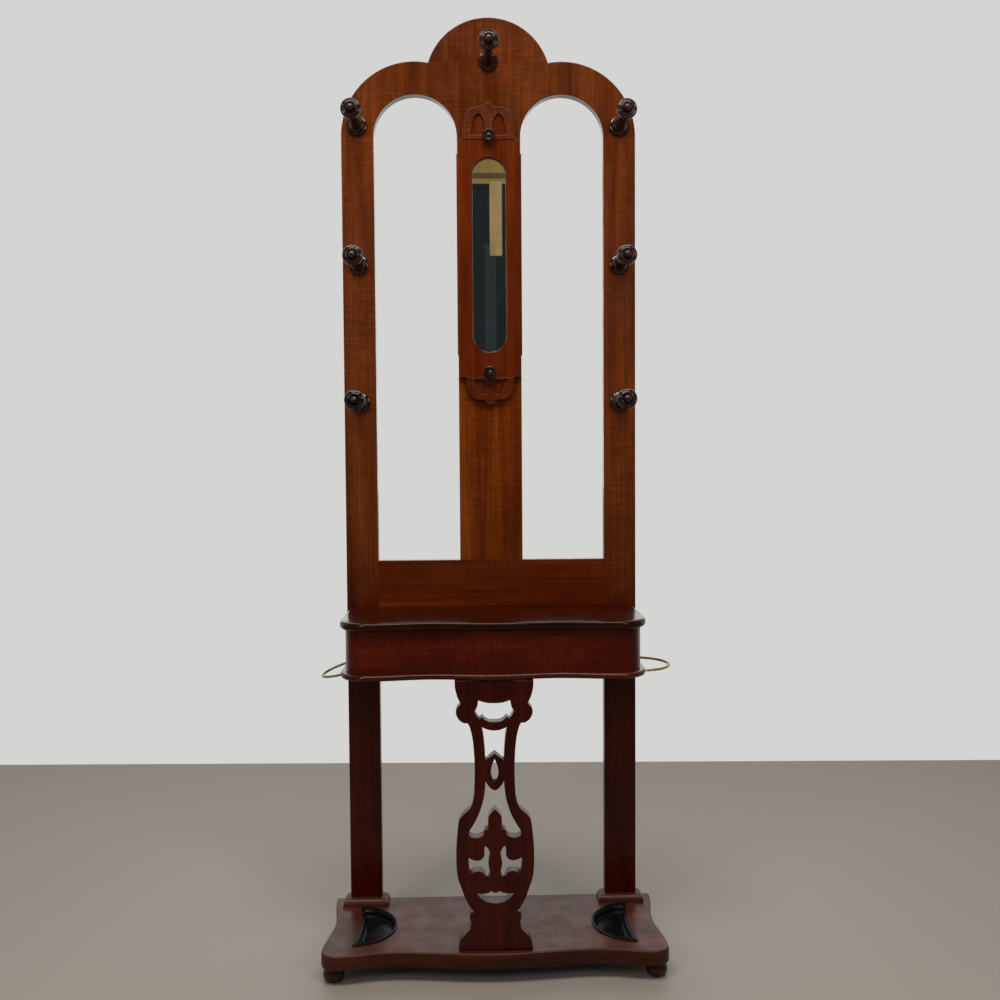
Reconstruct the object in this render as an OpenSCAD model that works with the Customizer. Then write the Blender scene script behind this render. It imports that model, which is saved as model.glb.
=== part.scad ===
// Mahogany hall stand: a tall open back with two arches, seven turned coat pegs and a narrow
// mirror, over a shallow serpentine table with two brass stick rings, a fretted front support
// and a serpentine base with two lift-out drip trays.
// Millimetres, +Z up. The front faces -Y. The origin is on the floor, under the middle.

/* [Overall] */
// Height from the floor to the top of the crest
total_h = 2015; // [1680:5:2420]
// Width over the outsides of the two stiles
back_w = 640; // [560:5:770]
// Thickness of the back's boards
board_t = 24; // [20:1:30]

/* [Back] */
// Width of each stile
stile_w = 70; // [56:1:84]
// Width of the centre splat
splat_w = 138; // [126:1:166]
// Radius of the crest lobe
crest_r = 136; // [115:1:150]
// Height of the arches' spring line below the top of the crest
spring_drop = 254; // [238:1:300]
// Height of the lower rail above the table top
rail_rise = 102; // [60:1:150]

/* [Mirror] */
// Width of the mirror seen in its frame
mirror_w = 72; // [60:1:84]
// Height of the mirror seen in its frame
mirror_h = 421; // [351:1:505]
// Height of the mirror's middle below the top of the crest
mirror_drop = 511; // [480:1:530]
// Thickness of the applied mirror frame
frame_t = 10; // [8:0.5:14]
// How far the carving stands above the frame
carving_t = 3; // [2:0.5:5]
// Thickness of the mirror glass
glass_t = 4; // [3:0.5:6]
// How far the glass reaches under its frame
glass_lap = 6; // [4:0.5:9]

/* [Pegs] */
// Length of a coat peg from the board to its front
peg_len = 132; // [110:1:158]
// Diameter of a coat peg's head
peg_head_d = 43; // [36:1:50]
// Height of the upper pair of side pegs below the top of the crest
peg_top_drop = 232; // [215:1:245]
// Spacing of the side pegs, one above another
peg_pitch = 299; // [240:1:310]
// Height of the crest peg below the top of the crest
peg_crest_drop = 93; // [80:1:110]

/* [Table] */
// Height of the table's top surface
table_h = 735; // [612:1:882]
// How far the table top stops short of the outside of each stile
table_in = 7; // [2:1:12]
// Depth of the table top in front of the back
table_depth = 234; // [200:1:281]
// Thickness of the table top
table_t = 17; // [14:1:22]
// Height of the frieze under the table top
frieze_h = 88; // [74:1:110]
// Thickness of the frieze boards
frieze_t = 20; // [16:1:24]
// How far the nosings stand out from the frieze
nosing = 11; // [8:0.5:14]
// Thickness of the moulded bottom board
floor_t = 12; // [10:0.5:16]

/* [Stick rings] */
// Radius of a stick ring, to the middle of its rod
ring_r = 67.5; // [56:0.5:76]
// Diameter of the ring's rod
ring_d = 5.5; // [4:0.5:7]
// Distance of the ring's middle in front of the back
ring_mid = 112; // [100:1:130]
// How far the left ring has sunk at its outer end, in degrees
left_droop = 16; // [0:1:17]
// How far the left ring has slipped in at its ends
left_sink = 12; // [0:1:12]

/* [Front support] */
// Thickness of the fretted support
fret_t = 26; // [20:1:32]
// Setback of the fretted support behind the front of the base
fret_setback = 15; // [10:1:30]

/* [Base] */
// How far the base board reaches past each stile
base_over = 35; // [28:1:45]
// Depth of the base board in front of the back
base_depth = 244; // [222:1:293]
// How far the base reaches behind the back's boards
base_behind = 6; // [6:1:12]
// Thickness of the base board
base_t = 32; // [27:1:38]
// Height of the bun feet
foot_h = 33; // [27:1:40]
// Diameter of the bun feet
foot_d = 44; // [36:1:54]
// Height of the plinth blocks round the stiles' feet
plinth_h = 16; // [12:1:24]
// How far the plinth blocks stand out from the stiles
plinth_out = 16; // [10:1:17]

/* [Drip trays] */
// Length of a tray from tip to tip
tray_len = 180; // [150:1:190]
// Width of a tray
tray_w = 86; // [70:1:100]
// Depth of a tray's pan below the base's top
tray_depth = 15; // [10:1:24]
// Thickness of a tray's wall
tray_wall = 2; // [1.5:0.5:3]
// Clearance between a tray's pan and its cut-out
tray_gap = 1.5; // [1:0.5:3]

/* [Hidden] */

$fn = 64;
cut = 1;                            // how far a cutting shape runs past what it cuts

// Heights
base_top = foot_h + base_t;
frieze_top = table_h - table_t;
frieze_low = frieze_top - frieze_h;
floor_low = frieze_low - floor_t;
rail_top = table_h + rail_rise;
spring_h = total_h - spring_drop;
crest_mid = total_h - crest_r;
mirror_mid = total_h - mirror_drop;
peg_low_h = total_h - peg_top_drop - 2 * peg_pitch;

// Across the back
stile_in = back_w / 2 - stile_w;
splat_half = splat_w / 2;
arch_r = (stile_in - splat_half) / 2;
arch_x = splat_half + arch_r;
shoulder_r = arch_r + stile_w;
// The crest lobe meets the shoulders at this height: where the two circles cross
cross_dx = arch_x;
cross_dz = crest_mid - spring_h;
cross_gap = norm([cross_dx, cross_dz]);
cross_along = (shoulder_r * shoulder_r - crest_r * crest_r + cross_gap * cross_gap) / (2 * cross_gap);
cross_off = sqrt(shoulder_r * shoulder_r - cross_along * cross_along);
notch_x = arch_x - (cross_along * cross_dx - cross_off * cross_dz) / cross_gap;
notch_h = spring_h + (cross_along * cross_dz + cross_off * cross_dx) / cross_gap;

// Front to back: the front face of the back's boards is at face_y
behind = board_t + base_behind;
face_y = (max(base_depth, table_depth) - behind) / 2;

// Frieze and bottom board
table_w = back_w - 2 * table_in;
frieze_half = table_w / 2 - nosing;
frieze_front_f = table_depth - nosing;
corner_r = 60;                      // radius of the table's front corners
side_len = table_depth - corner_r;  // straight length of the table's sides
table_wave = 13;                    // how far the table's front swells
table_hollow = table_w / 2 - 186;   // where the table's front is hollowest, from the middle

// Base
base_half = back_w / 2 + base_over;
base_corner = 30;
base_wave = 15;
base_hollow = base_half - 140;
base_waist = 13;                    // how far the base's sides are hollowed
foot_x = base_half - foot_d / 2 - 2;
foot_front_f = base_depth - foot_d / 2 - 15;
foot_rear_f = -board_t + foot_d / 2 - 2;
tenon_w = stile_w - 24;
tenon_t = board_t / 2;
tenon_len = base_t - 7;

// Drip trays, measured from the stand's middle and the back's face
tray_mid_f = 111;
tray_tip_x = base_half - 61;
tray_hollow = 7;                    // how far a tray's outer side is hollowed
tray_rim = 4;                       // how high the rim stands above the base
tray_seat = 0.2;                    // the rim's clearance above the base
tray_rim_w = 4.5;                   // how far the rim laps the base

// Front support
fret_f = base_depth - fret_setback;
fret_h = floor_low - base_top;
fret_dowel_x = 40;
fret_dowel_r = 5;
fret_dowel_in = 10;                 // how deep each dowel sits in the support

// Pegs and knobs
peg_x = back_w / 2 - stile_w / 2;
peg_spigot_r = 7;
peg_spigot_len = 20;
knob_len = 20;
knob_r = 15;
knob_spigot_r = 4;
knob_spigot_len = 14;
upper_knob_over = 42;               // height of each knob past the mirror's end
lower_knob_over = 46;

// Screws
screw_r = 2;
screw_head_r = 4;
screw_head_t = 2.5;

mahogany = "#5a2313";
dark_mahogany = "#48160c";
turned_wood = "#241010";
old_brass = "#8a7a4a";
black_iron = "#15161a";

// ---- curves -----------------------------------------------------------------------------

// Points along a smooth curve through the points p (Catmull-Rom), with n steps a stretch
function smooth_at(a, b, c, d, t) =
    0.5 * ((2 * b) + (c - a) * t + (2 * a - 5 * b + 4 * c - d) * t * t
        + (3 * b - 3 * c + d - a) * t * t * t);
function smooth(p, n = 5) = let (m = len(p) - 1) concat(
    [for (i = [0 : m - 1], j = [0 : n - 1]) smooth_at(
        p[max(i - 1, 0)], p[i], p[i + 1], p[min(i + 2, m)], j / n)],
    [p[m]]);
// The same outline taken back in reverse on the other side of X = 0
function flipped(p) = [for (i = [len(p) - 1 : -1 : 0]) [-p[i][0], p[i][1]]];
function mirrored(p) = concat(p, flipped(p));
// Points of an arc from angle a to angle b
function arc(x, y, r, a, b, n = 12) = [for (i = [0 : n]) let (t = a + (b - a) * i / n)
    [x + r * cos(t), y + r * sin(t)]];

// How far a serpentine front falls back at x: full at the middle and the corners,
// hollowest at the distance hollow
function fall(x, wave, hollow, reach) = let (d = abs(x))
    d < hollow ? wave * (1 - cos(180 * d / hollow)) / 2
    : wave * (1 + cos(180 * (d - hollow) / (reach - hollow))) / 2;

// Plan outline of a serpentine board in front of Y = 0, drawn in by inset all round but the back
function serpentine(half, front, back, r, wave, hollow, waist, inset = 0, n = 40) =
    let (reach = half - r, side = [for (i = [1 : 12]) let (t = i / 13)
        [half - inset - waist * pow(sin(180 * t), 2), -(front - r) * (1 - t) + back * t]])
    concat(
        [for (i = [0 : n - 1]) let (x = reach * (2 * i / n - 1))
            [x, -(front - inset - fall(x, wave, hollow, reach))]],
        arc(reach, -(front - r), r - inset, -90, 0, 8),
        waist > 0 ? side : [],
        [[half - inset, back], [-(half - inset), back]],
        waist > 0 ? [for (i = [len(side) - 1 : -1 : 0]) [-side[i][0], side[i][1]]] : [],
        arc(-reach, -(front - r), r - inset, 180, 270, 8));

function table_plan(inset) = serpentine(table_w / 2, table_depth, 0, corner_r,
    table_wave, table_hollow, 0, inset);
function base_plan(inset) = serpentine(base_half, base_depth, behind, base_corner,
    base_wave, base_hollow, base_waist, inset);

// Plan outline of a drip tray, drawn in by inset all round
function tray_plan(inset) = let (
        half = tray_len / 2, b = half - 2.2 * inset,
        tip = tray_tip_x - inset - tray_hollow * (1 - pow(b / half, 2)),
        a = tip - (tray_tip_x - tray_w + inset))
    concat(
        [for (i = [0 : 32]) let (t = -90 + 180 * i / 32) [tip - a * cos(t), b * sin(t)]],
        [for (i = [1 : 11]) let (y = b * (1 - 2 * i / 12))
            [tip - tray_hollow * (pow(b / half, 2) - pow(y / half, 2)), y]]);

// ---- placing ----------------------------------------------------------------------------

// Draws a plate standing on the back's face: the child is drawn in X and Z, and runs
// forward from the distance f0 to the distance f1 in front of the face
module upright(f0, f1) {
    translate([0, face_y - f0, 0]) rotate([90, 0, 0]) linear_extrude(f1 - f0) children();
}

// Draws a plan shape from z0 to z1, with Y = 0 at the back's face
module flat(z0, z1) {
    translate([0, face_y, z0]) linear_extrude(z1 - z0) children();
}

// A solid of revolution that points forward from the back's face at x, z
module turned(x, z, f = 0) {
    translate([x, face_y - f, z]) rotate([90, 0, 0]) rotate_extrude() children();
}

module forward_rod(x, z, f0, f1, r) {
    translate([x, face_y - f0, z]) rotate([90, 0, 0]) cylinder(h = f1 - f0, r = r);
}

// A stadium: an upright slot with round ends
module slot(w, h) {
    square([w, h - w], center = true);
    for (s = [-1, 1]) translate([0, s * (h - w) / 2]) circle(d = w);
}

// ---- back -------------------------------------------------------------------------------

module crest_lobe() {
    color(mahogany) difference() {
        upright(-board_t, 0) intersection() {
            translate([0, crest_mid]) circle(r = crest_r);
            translate([-crest_r, notch_h]) square([2 * crest_r, crest_r * 2]);
        }
        peg_hole(0, total_h - peg_crest_drop);
    }
}

module arch_rail() {
    color(mahogany) difference() {
        upright(-board_t, 0) difference() {
            union() {
                for (s = [-1, 1]) intersection() {
                    translate([s * arch_x, spring_h]) circle(r = shoulder_r);
                    translate([s > 0 ? arch_x : -back_w, spring_h])
                        square([back_w - arch_x, shoulder_r]);
                }
                intersection() {
                    union() for (s = [-1, 1]) {
                        translate([s * arch_x, spring_h]) circle(r = shoulder_r);
                        translate([-arch_x, spring_h]) square([2 * arch_x, notch_h - spring_h]);
                    }
                    translate([-arch_x, spring_h]) square([2 * arch_x, shoulder_r]);
                }
            }
            for (s = [-1, 1]) translate([s * arch_x, spring_h]) circle(r = arch_r);
            translate([-notch_x, notch_h]) square([2 * notch_x, crest_r]);
        }
        for (s = [-1, 1]) peg_hole(s * peg_x, peg_low_h + 2 * peg_pitch);
        peg_hole(0, total_h - peg_crest_drop);
        mirror_holes();
    }
}

module stile(side) {
    color(mahogany) difference() {
        union() {
            upright(-board_t, 0) translate([side > 0 ? stile_in : -back_w / 2, base_top])
                square([stile_w, spring_h - base_top]);
            stile_tenon(side);
        }
        for (i = [0, 1]) peg_hole(side * peg_x, peg_low_h + i * peg_pitch);
        table_screw_holes();
    }
}

module stile_tenon(side) {
    translate([side * peg_x - tenon_w / 2, face_y + board_t / 2 - tenon_t / 2, base_top - tenon_len])
        cube([tenon_w, tenon_t, tenon_len + cut]);
}

module left_stile() { stile(-1); }
module right_stile() { stile(1); }

module centre_splat() {
    color(mahogany) difference() {
        upright(-board_t, 0) translate([-splat_half, rail_top]) square([splat_w, spring_h - rail_top]);
        mirror_holes();
    }
}

module lower_rail() {
    color(mahogany) difference() {
        upright(-board_t, 0) translate([-stile_in, floor_low])
            square([2 * stile_in, rail_top - floor_low]);
        table_screw_holes();
    }
}

// ---- mirror -----------------------------------------------------------------------------

frame_wide = 70.5;                  // half width of the frame beside the mirror
frame_narrow = splat_half - 0.5;    // half width of the frame at its ends
frame_long = mirror_h / 2 + 7;      // half height of the wide part
upper_ear = mirror_h / 2 + 37;      // from the mirror's middle to the frame's upper ears
lower_ear = mirror_h / 2 + 55;

// The carved ends, each drawn away from the mirror, half an outline from the ear inwards
function past(ear, p) = [for (q = p) [q[0], q[1] + ear]];
function upper_end() = past(upper_ear, smooth([[57, 0], [57.5, 22], [54, 46], [44, 62], [28, 70],
    [12, 71], [9, 76], [4, 80], [0, 81]], 4));
function lower_end() = past(lower_ear, smooth([[52, 0], [52, 16], [47, 34], [34, 47], [12, 51],
    [8, 57], [0, 61]], 4));

// The sunk lobes of the carving, one side
function upper_lobe() = past(upper_ear, smooth([[8, 18], [9, 34], [13, 47], [22, 55], [31, 48],
    [35, 33], [38, 14], [30, 10], [18, 10], [8, 18]], 4));
function lower_lobe() = past(lower_ear, smooth([[40, -7], [34, 6], [29, 20], [24, 33], [20, 37],
    [10, 36], [8, 22], [7, 6], [20, -3], [40, -7]], 4));

function frame_half() = [[0, -lower_ear], [frame_narrow, -lower_ear], [frame_narrow, -frame_long],
    [frame_wide, -frame_long], [frame_wide, frame_long], [frame_narrow, frame_long],
    [frame_narrow, upper_ear]];

module frame_end(outline) {
    polygon(mirrored(outline));
}

module lobes(outline) {
    for (s = [0, 1]) mirror([s, 0]) polygon(outline);
}

module mirror_frame() {
    color(dark_mahogany) difference() {
        union() {
            upright(0, frame_t) translate([0, mirror_mid]) difference() {
                union() {
                    polygon(concat(frame_half(), flipped(frame_half())));
                    frame_end(upper_end());
                    mirror([0, 1]) frame_end(lower_end());
                }
                slot(mirror_w, mirror_h);
            }
            upright(frame_t, frame_t + carving_t) translate([0, mirror_mid]) {
                difference() { frame_end(upper_end()); lobes(upper_lobe()); }
                mirror([0, 1]) difference() { frame_end(lower_end()); lobes(lower_lobe()); }
            }
        }
        upright(frame_t - carving_t, frame_t + carving_t + cut) translate([0, mirror_mid]) {
            lobes(upper_lobe());
            mirror([0, 1]) lobes(lower_lobe());
        }
        knob_holes();
    }
}

module glass_slot() {
    translate([0, mirror_mid]) slot(mirror_w + 2 * glass_lap, mirror_h + 2 * glass_lap);
}

module mirror_glass() { color("#8fa3a3") upright(-glass_t, 0) glass_slot(); }

// What the mirror needs cut in the boards behind it: a tall one reaches up into the arches
module mirror_holes() {
    upright(-board_t - cut, cut) glass_slot();
    knob_holes();
    backboard_screw_holes();
}

backboard_w = mirror_w + 38;
backboard_h = mirror_h + 42;
backboard_t = 5;
wedge_t = board_t - glass_t;        // the wedges fill the depth behind the glass

module mirror_backboard() {
    color("#6a4a30") difference() {
        upright(-board_t - backboard_t, -board_t) translate([0, mirror_mid])
            square([backboard_w, backboard_h], center = true);
        backboard_screw_holes();
    }
}

// Small softwood wedges that hold the glass against its frame
module mirror_wedges() {
    color("#a5825a") for (s = [-1, 1], t = [-1, 0, 1])
        upright(-board_t, -glass_t) translate([s * (mirror_w / 2 + glass_lap - 4),
            mirror_mid + t * (mirror_h - mirror_w) * 0.45]) square([8, 26], center = true);
}

module backboard_screw_places() {
    for (s = [-1, 1], t = [-1, 0, 1])
        translate([s * (backboard_w / 2 - 6), 0, mirror_mid + t * (backboard_h / 2 - 10)]) children();
}

module screw_shape(head_at, long) {
    translate([0, head_at, 0]) rotate([90, 0, 0]) {
        cylinder(h = long, r = screw_r);
        cylinder(h = screw_head_t, r = screw_head_r);
    }
}

module backboard_screws_shape() {
    backboard_screw_places() screw_shape(face_y + board_t + backboard_t, 18);
}
module backboard_screw_holes() { backboard_screws_shape(); }
module backboard_screws() { color(old_brass) backboard_screws_shape(); }

// ---- pegs and knobs ---------------------------------------------------------------------

module peg_hole(x, z) {
    forward_rod(x, z, -peg_spigot_len, cut, peg_spigot_r);
}

// A peg's profile: spigot, rounded flange, ogee neck, then a dished head with a button
module peg(x, z) {
    r = peg_head_d / 2;
    n = peg_len;
    color(turned_wood) turned(x, z) polygon(concat(
        [[0, -peg_spigot_len], [peg_spigot_r, -peg_spigot_len], [peg_spigot_r, 0], [r - 2, 0]],
        arc(r - 3, 4, 3, -60, 80, 6),
        smooth([[r - 5, 8], [13, 12], [10.5, n * 0.17], [9, n * 0.3], [9.5, n * 0.47], [12, n * 0.62],
            [13.5, n - 33]], 3),
        arc(13, n - 30, 3.5, -60, 60, 5),
        [[12.5, n - 26]],
        arc(r - 5, n - 17, 5, -70, 60, 8),
        [[r - 6, n - 11], [11, n - 13], [10.5, n - 8]],
        arc(0, n - 12, 12, 25, 90, 6)));
}

module crest_peg() { peg(0, total_h - peg_crest_drop); }
module left_lower_peg() { peg(-peg_x, peg_low_h); }
module left_middle_peg() { peg(-peg_x, peg_low_h + peg_pitch); }
module left_upper_peg() { peg(-peg_x, peg_low_h + 2 * peg_pitch); }
module right_lower_peg() { peg(peg_x, peg_low_h); }
module right_middle_peg() { peg(peg_x, peg_low_h + peg_pitch); }
module right_upper_peg() { peg(peg_x, peg_low_h + 2 * peg_pitch); }

// Height of each knob from the mirror's middle
function knob_h(s) = s * (mirror_h / 2 + (s > 0 ? upper_knob_over : lower_knob_over));

module knob_holes() {
    for (s = [-1, 1]) forward_rod(0, mirror_mid + knob_h(s), frame_t - knob_spigot_len,
        frame_t + carving_t + cut, knob_spigot_r);
}

module frame_knob(s) {
    color(turned_wood) turned(0, mirror_mid + knob_h(s), frame_t) polygon(concat(
        [[0, -knob_spigot_len], [knob_spigot_r, -knob_spigot_len], [knob_spigot_r, carving_t],
            [7, carving_t], [6, carving_t + 4], [10, carving_t + 6]],
        arc(knob_r - 4, carving_t + 11, 4, -70, 60, 6),
        [[8, carving_t + 14.5]],
        arc(0, knob_len - 7, 7, 15, 90, 5)));
}
module upper_frame_knob() { frame_knob(1); }
module lower_frame_knob() { frame_knob(-1); }

// ---- table ------------------------------------------------------------------------------

module table_top() {
    color(mahogany) {
        flat(frieze_top, frieze_top + 3) polygon(table_plan(5));
        flat(frieze_top + 3, table_h - 4) polygon(table_plan(0));
        flat(table_h - 4, table_h) polygon(table_plan(3));
    }
}

module frieze_slice(x0, x1, y0, y1) {
    flat(frieze_low, frieze_top) intersection() {
        difference() {
            polygon(table_plan(nosing));
            polygon(table_plan(nosing + frieze_t));
        }
        translate([x0, y0]) square([x1 - x0, y1 - y0]);
    }
}

frieze_reach = table_w / 2 - corner_r;  // half width of the frieze between its corners

module frieze_front() {
    color(dark_mahogany) frieze_slice(-frieze_reach, frieze_reach, -table_depth, -table_depth / 2);
}
module left_frieze_corner() {
    color(dark_mahogany) frieze_slice(-table_w, -frieze_reach, -table_depth, -side_len);
}
module right_frieze_corner() {
    color(dark_mahogany) frieze_slice(frieze_reach, table_w, -table_depth, -side_len);
}
module frieze_side(s) {
    color(dark_mahogany) difference() {
        flat(frieze_low, frieze_top) translate([s > 0 ? frieze_half - frieze_t : -frieze_half, -side_len])
            square([frieze_t, side_len]);
        table_screw_holes();
    }
}
module left_frieze_side() { frieze_side(-1); }
module right_frieze_side() { frieze_side(1); }

// The bottom board of the table box: its edge is the lower moulding
module frieze_floor() {
    color(dark_mahogany) difference() {
        union() {
            flat(floor_low, floor_low + 3) polygon(table_plan(4));
            flat(floor_low + 3, frieze_low) polygon(table_plan(0));
        }
        for (s = [-1, 1]) ring_shape(s);
        fret_dowel_holes();
    }
}

block_len = frieze_h - 8;
module glue_blocks() {
    color("#a5825a") for (s = [-1, 1], f = [0, side_len - 30])
        translate([s * (frieze_half - frieze_t - 11), face_y - f - 15, frieze_low + block_len / 2])
            cube([22, 30, block_len], center = true);
}

module table_screws_shape() {
    for (s = [-1, 1], z = [frieze_low + 22, frieze_top - 22])
        translate([s * (frieze_half - frieze_t / 2), 0, z]) screw_shape(face_y + board_t, board_t + 28);
}
module table_screw_holes() { table_screws_shape(); }
module table_screws() { color(old_brass) table_screws_shape(); }

// ---- stick rings ------------------------------------------------------------------------

ring_x = table_w / 2 - 8;           // where a ring's ends meet, inside the bottom board's edge
ring_z = floor_low + floor_t / 2;
ring_spigot = 14;

// Half a hoop whose two ends run straight into the edge of the bottom board
module ring_shape(s) {
    droop = s < 0 ? left_droop : 0;
    sink = s < 0 ? left_sink : 0;
    translate([s * ring_x, face_y - ring_mid, ring_z]) rotate([0, s * droop, 0])
        translate([-s * sink, 0, 0]) {
            rotate([0, 0, s > 0 ? -90 : 90]) rotate_extrude(angle = 180)
                translate([ring_r, 0]) circle(d = ring_d, $fn = 24);
            for (e = [-1, 1]) translate([0, e * ring_r, 0]) rotate([0, -s * 90, 0])
                cylinder(h = ring_spigot - sink, d = ring_d, $fn = 24);
        }
}
module left_stick_ring() { color(old_brass) ring_shape(-1); }
module right_stick_ring() { color(old_brass) ring_shape(1); }

// ---- front support ----------------------------------------------------------------------

// Half the outline, from the top down, as distance from the middle and height above the base.
// The straight stretch of the stems takes up any change of height.
stem_stretch = fret_h - 553;
function raise(p) = [for (q = p) [q[0], q[1] + stem_stretch]];
function fret_half() = concat(
    raise(smooth([[79, 553], [78.5, 538], [74, 520], [67.5, 506]], 4)),
    raise(smooth([[69, 503.5], [75.5, 496], [77, 486], [71.5, 474], [62, 467], [54, 466.5]], 3)),
    raise(smooth([[50, 460], [45, 440], [42, 415], [40.5, 388]], 3)),
    smooth([[40, 375], [40.5, 350], [41.5, 326], [44, 307], [52, 291], [64, 280], [72, 269],
        [76, 243], [78.5, 210], [78.5, 178], [76, 152], [67.5, 126], [60, 106], [50, 88],
        [42, 81]], 3),
    smooth([[50, 79], [52, 74], [52, 66], [49.5, 58], [48.5, 53]], 3),
    smooth([[52.5, 44], [62, 34], [70.5, 24], [74.3, 12]], 4),
    [[75, 4], [75, 0]]);

// Cut-outs, one half each, from top to bottom
function shield_cut() = concat(smooth([[0, 506.5], [12, 507], [22, 509], [32, 512.5]], 2),
    smooth([[33.5, 504], [35, 498], [39.7, 490]], 3), smooth([[35, 481.5], [30.5, 474]], 2),
    [[24.5, 479]], smooth([[19, 473], [11, 469.3], [0, 468.5]], 3));
function crescent_cut() = concat(smooth([[0, 451], [12, 452.5], [25.4, 458]], 2),
    smooth([[22.5, 443], [20, 418], [18.5, 391]], 3), smooth([[15.5, 391.5], [9, 397.5], [0, 404.5]], 2));
function almond_cut() = smooth([[0, 393], [5, 381], [7.5, 368], [5, 355], [0, 344.5]], 4);
function bell_cut() = concat(smooth([[0, 329], [7, 332.5], [14, 340], [18.5, 348]], 3),
    smooth([[19.5, 335], [22, 315], [28, 293], [37, 271], [51.5, 247]], 4),
    smooth([[53, 238], [46, 233.5], [34, 233], [24, 237.5]], 3),
    smooth([[22.5, 245], [18.5, 250.5], [14.5, 248.5], [14, 256], [14, 267], [11, 279], [0, 291]], 3));
// The scrolls are a pair, beside the stem of the leaf
function scroll_cut() = concat(
    smooth([[20.4, 215.5], [14.5, 210], [10.8, 200], [12.5, 190], [14, 181], [12.8, 171],
        [10.8, 163], [12.5, 152], [17.5, 143.5]], 3),
    smooth([[20.5, 152], [24.5, 160], [33, 164], [43, 162.5], [51, 158.5]], 3),
    smooth([[53, 169], [53.8, 181], [54, 192]], 2),
    smooth([[47, 187.5], [36, 185.5], [27, 188.5], [22, 196], [22.3, 206]], 3));
function smile_cut() = concat([[0, 119]], smooth([[5, 120], [9, 122.5], [13.5, 119.5],
    [25, 117.5], [37.5, 118.5]], 3), smooth([[30, 108.5], [17, 100.5], [0, 97.5]], 3));

module both(p) {
    polygon(mirrored(p));
}

module fret_outline() {
    difference() {
        both(fret_half());
        both(raise(shield_cut()));
        both(raise(crescent_cut()));
        both(almond_cut());
        both(bell_cut());
        for (s = [0, 1]) mirror([s, 0]) polygon(scroll_cut());
        both(smile_cut());
    }
}

module fret_support() {
    color(dark_mahogany) difference() {
        upright(fret_f - fret_t, fret_f) translate([0, base_top]) fret_outline();
        fret_dowel_holes();
    }
}

// Dowels that pin the support's foot to the base and its head to the table's bottom board
module fret_dowels_shape() {
    for (s = [-1, 1], joint = [[base_top, fret_dowel_in], [floor_low, floor_t - 3]])
        translate([s * fret_dowel_x, face_y - fret_f + fret_t / 2, joint[0] - fret_dowel_in])
            cylinder(h = fret_dowel_in + joint[1], r = fret_dowel_r);
}
module fret_dowel_holes() { fret_dowels_shape(); }
module fret_dowels() { color("#a5825a") fret_dowels_shape(); }

// ---- base -------------------------------------------------------------------------------

module base_board() {
    color(mahogany) difference() {
        union() {
            flat(foot_h, foot_h + 4) polygon(base_plan(4));
            flat(foot_h + 4, base_top - 4) polygon(base_plan(0));
            flat(base_top - 4, base_top) polygon(base_plan(3));
        }
        for (s = [-1, 1]) {
            stile_tenon(s);
            tray_place(s, foot_h - cut) linear_extrude(base_t + 2 * cut) polygon(tray_plan(tray_rim_w));
        }
        fret_dowel_holes();
        for (s = [-1, 1], f = [foot_front_f, foot_rear_f]) foot_spigot(s * foot_x, f);
    }
}

// A quarter-round block, mitred at its front corners, let round the foot of the stile
module plinth(s) {
    outer = stile_w / 2 + plinth_out;
    color(mahogany) difference() {
        intersection() {
            upright(-board_t, plinth_out) translate([s * peg_x, base_top])
                polygon(mirrored(quarter_round(outer)));
            translate([s * peg_x - outer, face_y, base_top]) rotate([90, 0, 90])
                linear_extrude(2 * outer) polygon(concat([[board_t, 0], [board_t, plinth_h]],
                    flipped(quarter_round(plinth_out))));
        }
        translate([s * peg_x - stile_w / 2, face_y, base_top - cut])
            cube([stile_w, board_t + cut, plinth_h + 2 * cut]);
    }
}
function quarter_round(reach) = [for (i = [0 : 8]) let (a = 90 * i / 8)
    [reach - plinth_out * (1 - cos(a)) * 0.92, plinth_h * sin(a)]];
module left_plinth() { plinth(-1); }
module right_plinth() { plinth(1); }

foot_spigot_r = 9;
foot_spigot_len = 18;
module foot_spigot(x, f) {
    translate([x, face_y - f, foot_h]) cylinder(h = foot_spigot_len, r = foot_spigot_r);
}
module foot(x, f) {
    r = foot_d / 2;
    color(turned_wood) {
        translate([x, face_y - f, 0]) rotate_extrude() polygon(concat(
            [[0, 0], [r * 0.62, 0]],
            smooth([[r * 0.66, 0], [r * 0.86, foot_h * 0.12], [r, foot_h * 0.42],
                [r * 0.9, foot_h * 0.7], [r * 0.72, foot_h * 0.82]], 4),
            [[r * 0.74, foot_h * 0.88], [r * 0.74, foot_h], [foot_spigot_r, foot_h],
                [foot_spigot_r, foot_h + foot_spigot_len], [0, foot_h + foot_spigot_len]]));
    }
}
module front_left_foot() { foot(-foot_x, foot_front_f); }
module front_right_foot() { foot(foot_x, foot_front_f); }
module rear_left_foot() { foot(-foot_x, foot_rear_f); }
module rear_right_foot() { foot(foot_x, foot_rear_f); }

// ---- drip trays -------------------------------------------------------------------------

module tray_place(s, z) {
    translate([0, face_y - tray_mid_f, z]) mirror([s < 0 ? 1 : 0, 0, 0]) children();
}

module drip_tray(s) {
    pan = tray_rim_w + tray_gap;
    color(black_iron) difference() {
        union() {
            tray_place(s, base_top + tray_seat) linear_extrude(tray_rim - tray_seat)
                polygon(tray_plan(0));
            tray_place(s, base_top - tray_depth) linear_extrude(tray_depth + tray_rim - 1)
                polygon(tray_plan(pan));
        }
        tray_place(s, base_top - tray_depth + tray_wall) linear_extrude(tray_depth + tray_rim)
            polygon(tray_plan(pan + tray_wall));
    }
}
module left_drip_tray() { drip_tray(-1); }
module right_drip_tray() { drip_tray(1); }

// ---- drawing ----------------------------------------------------------------------------

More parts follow.
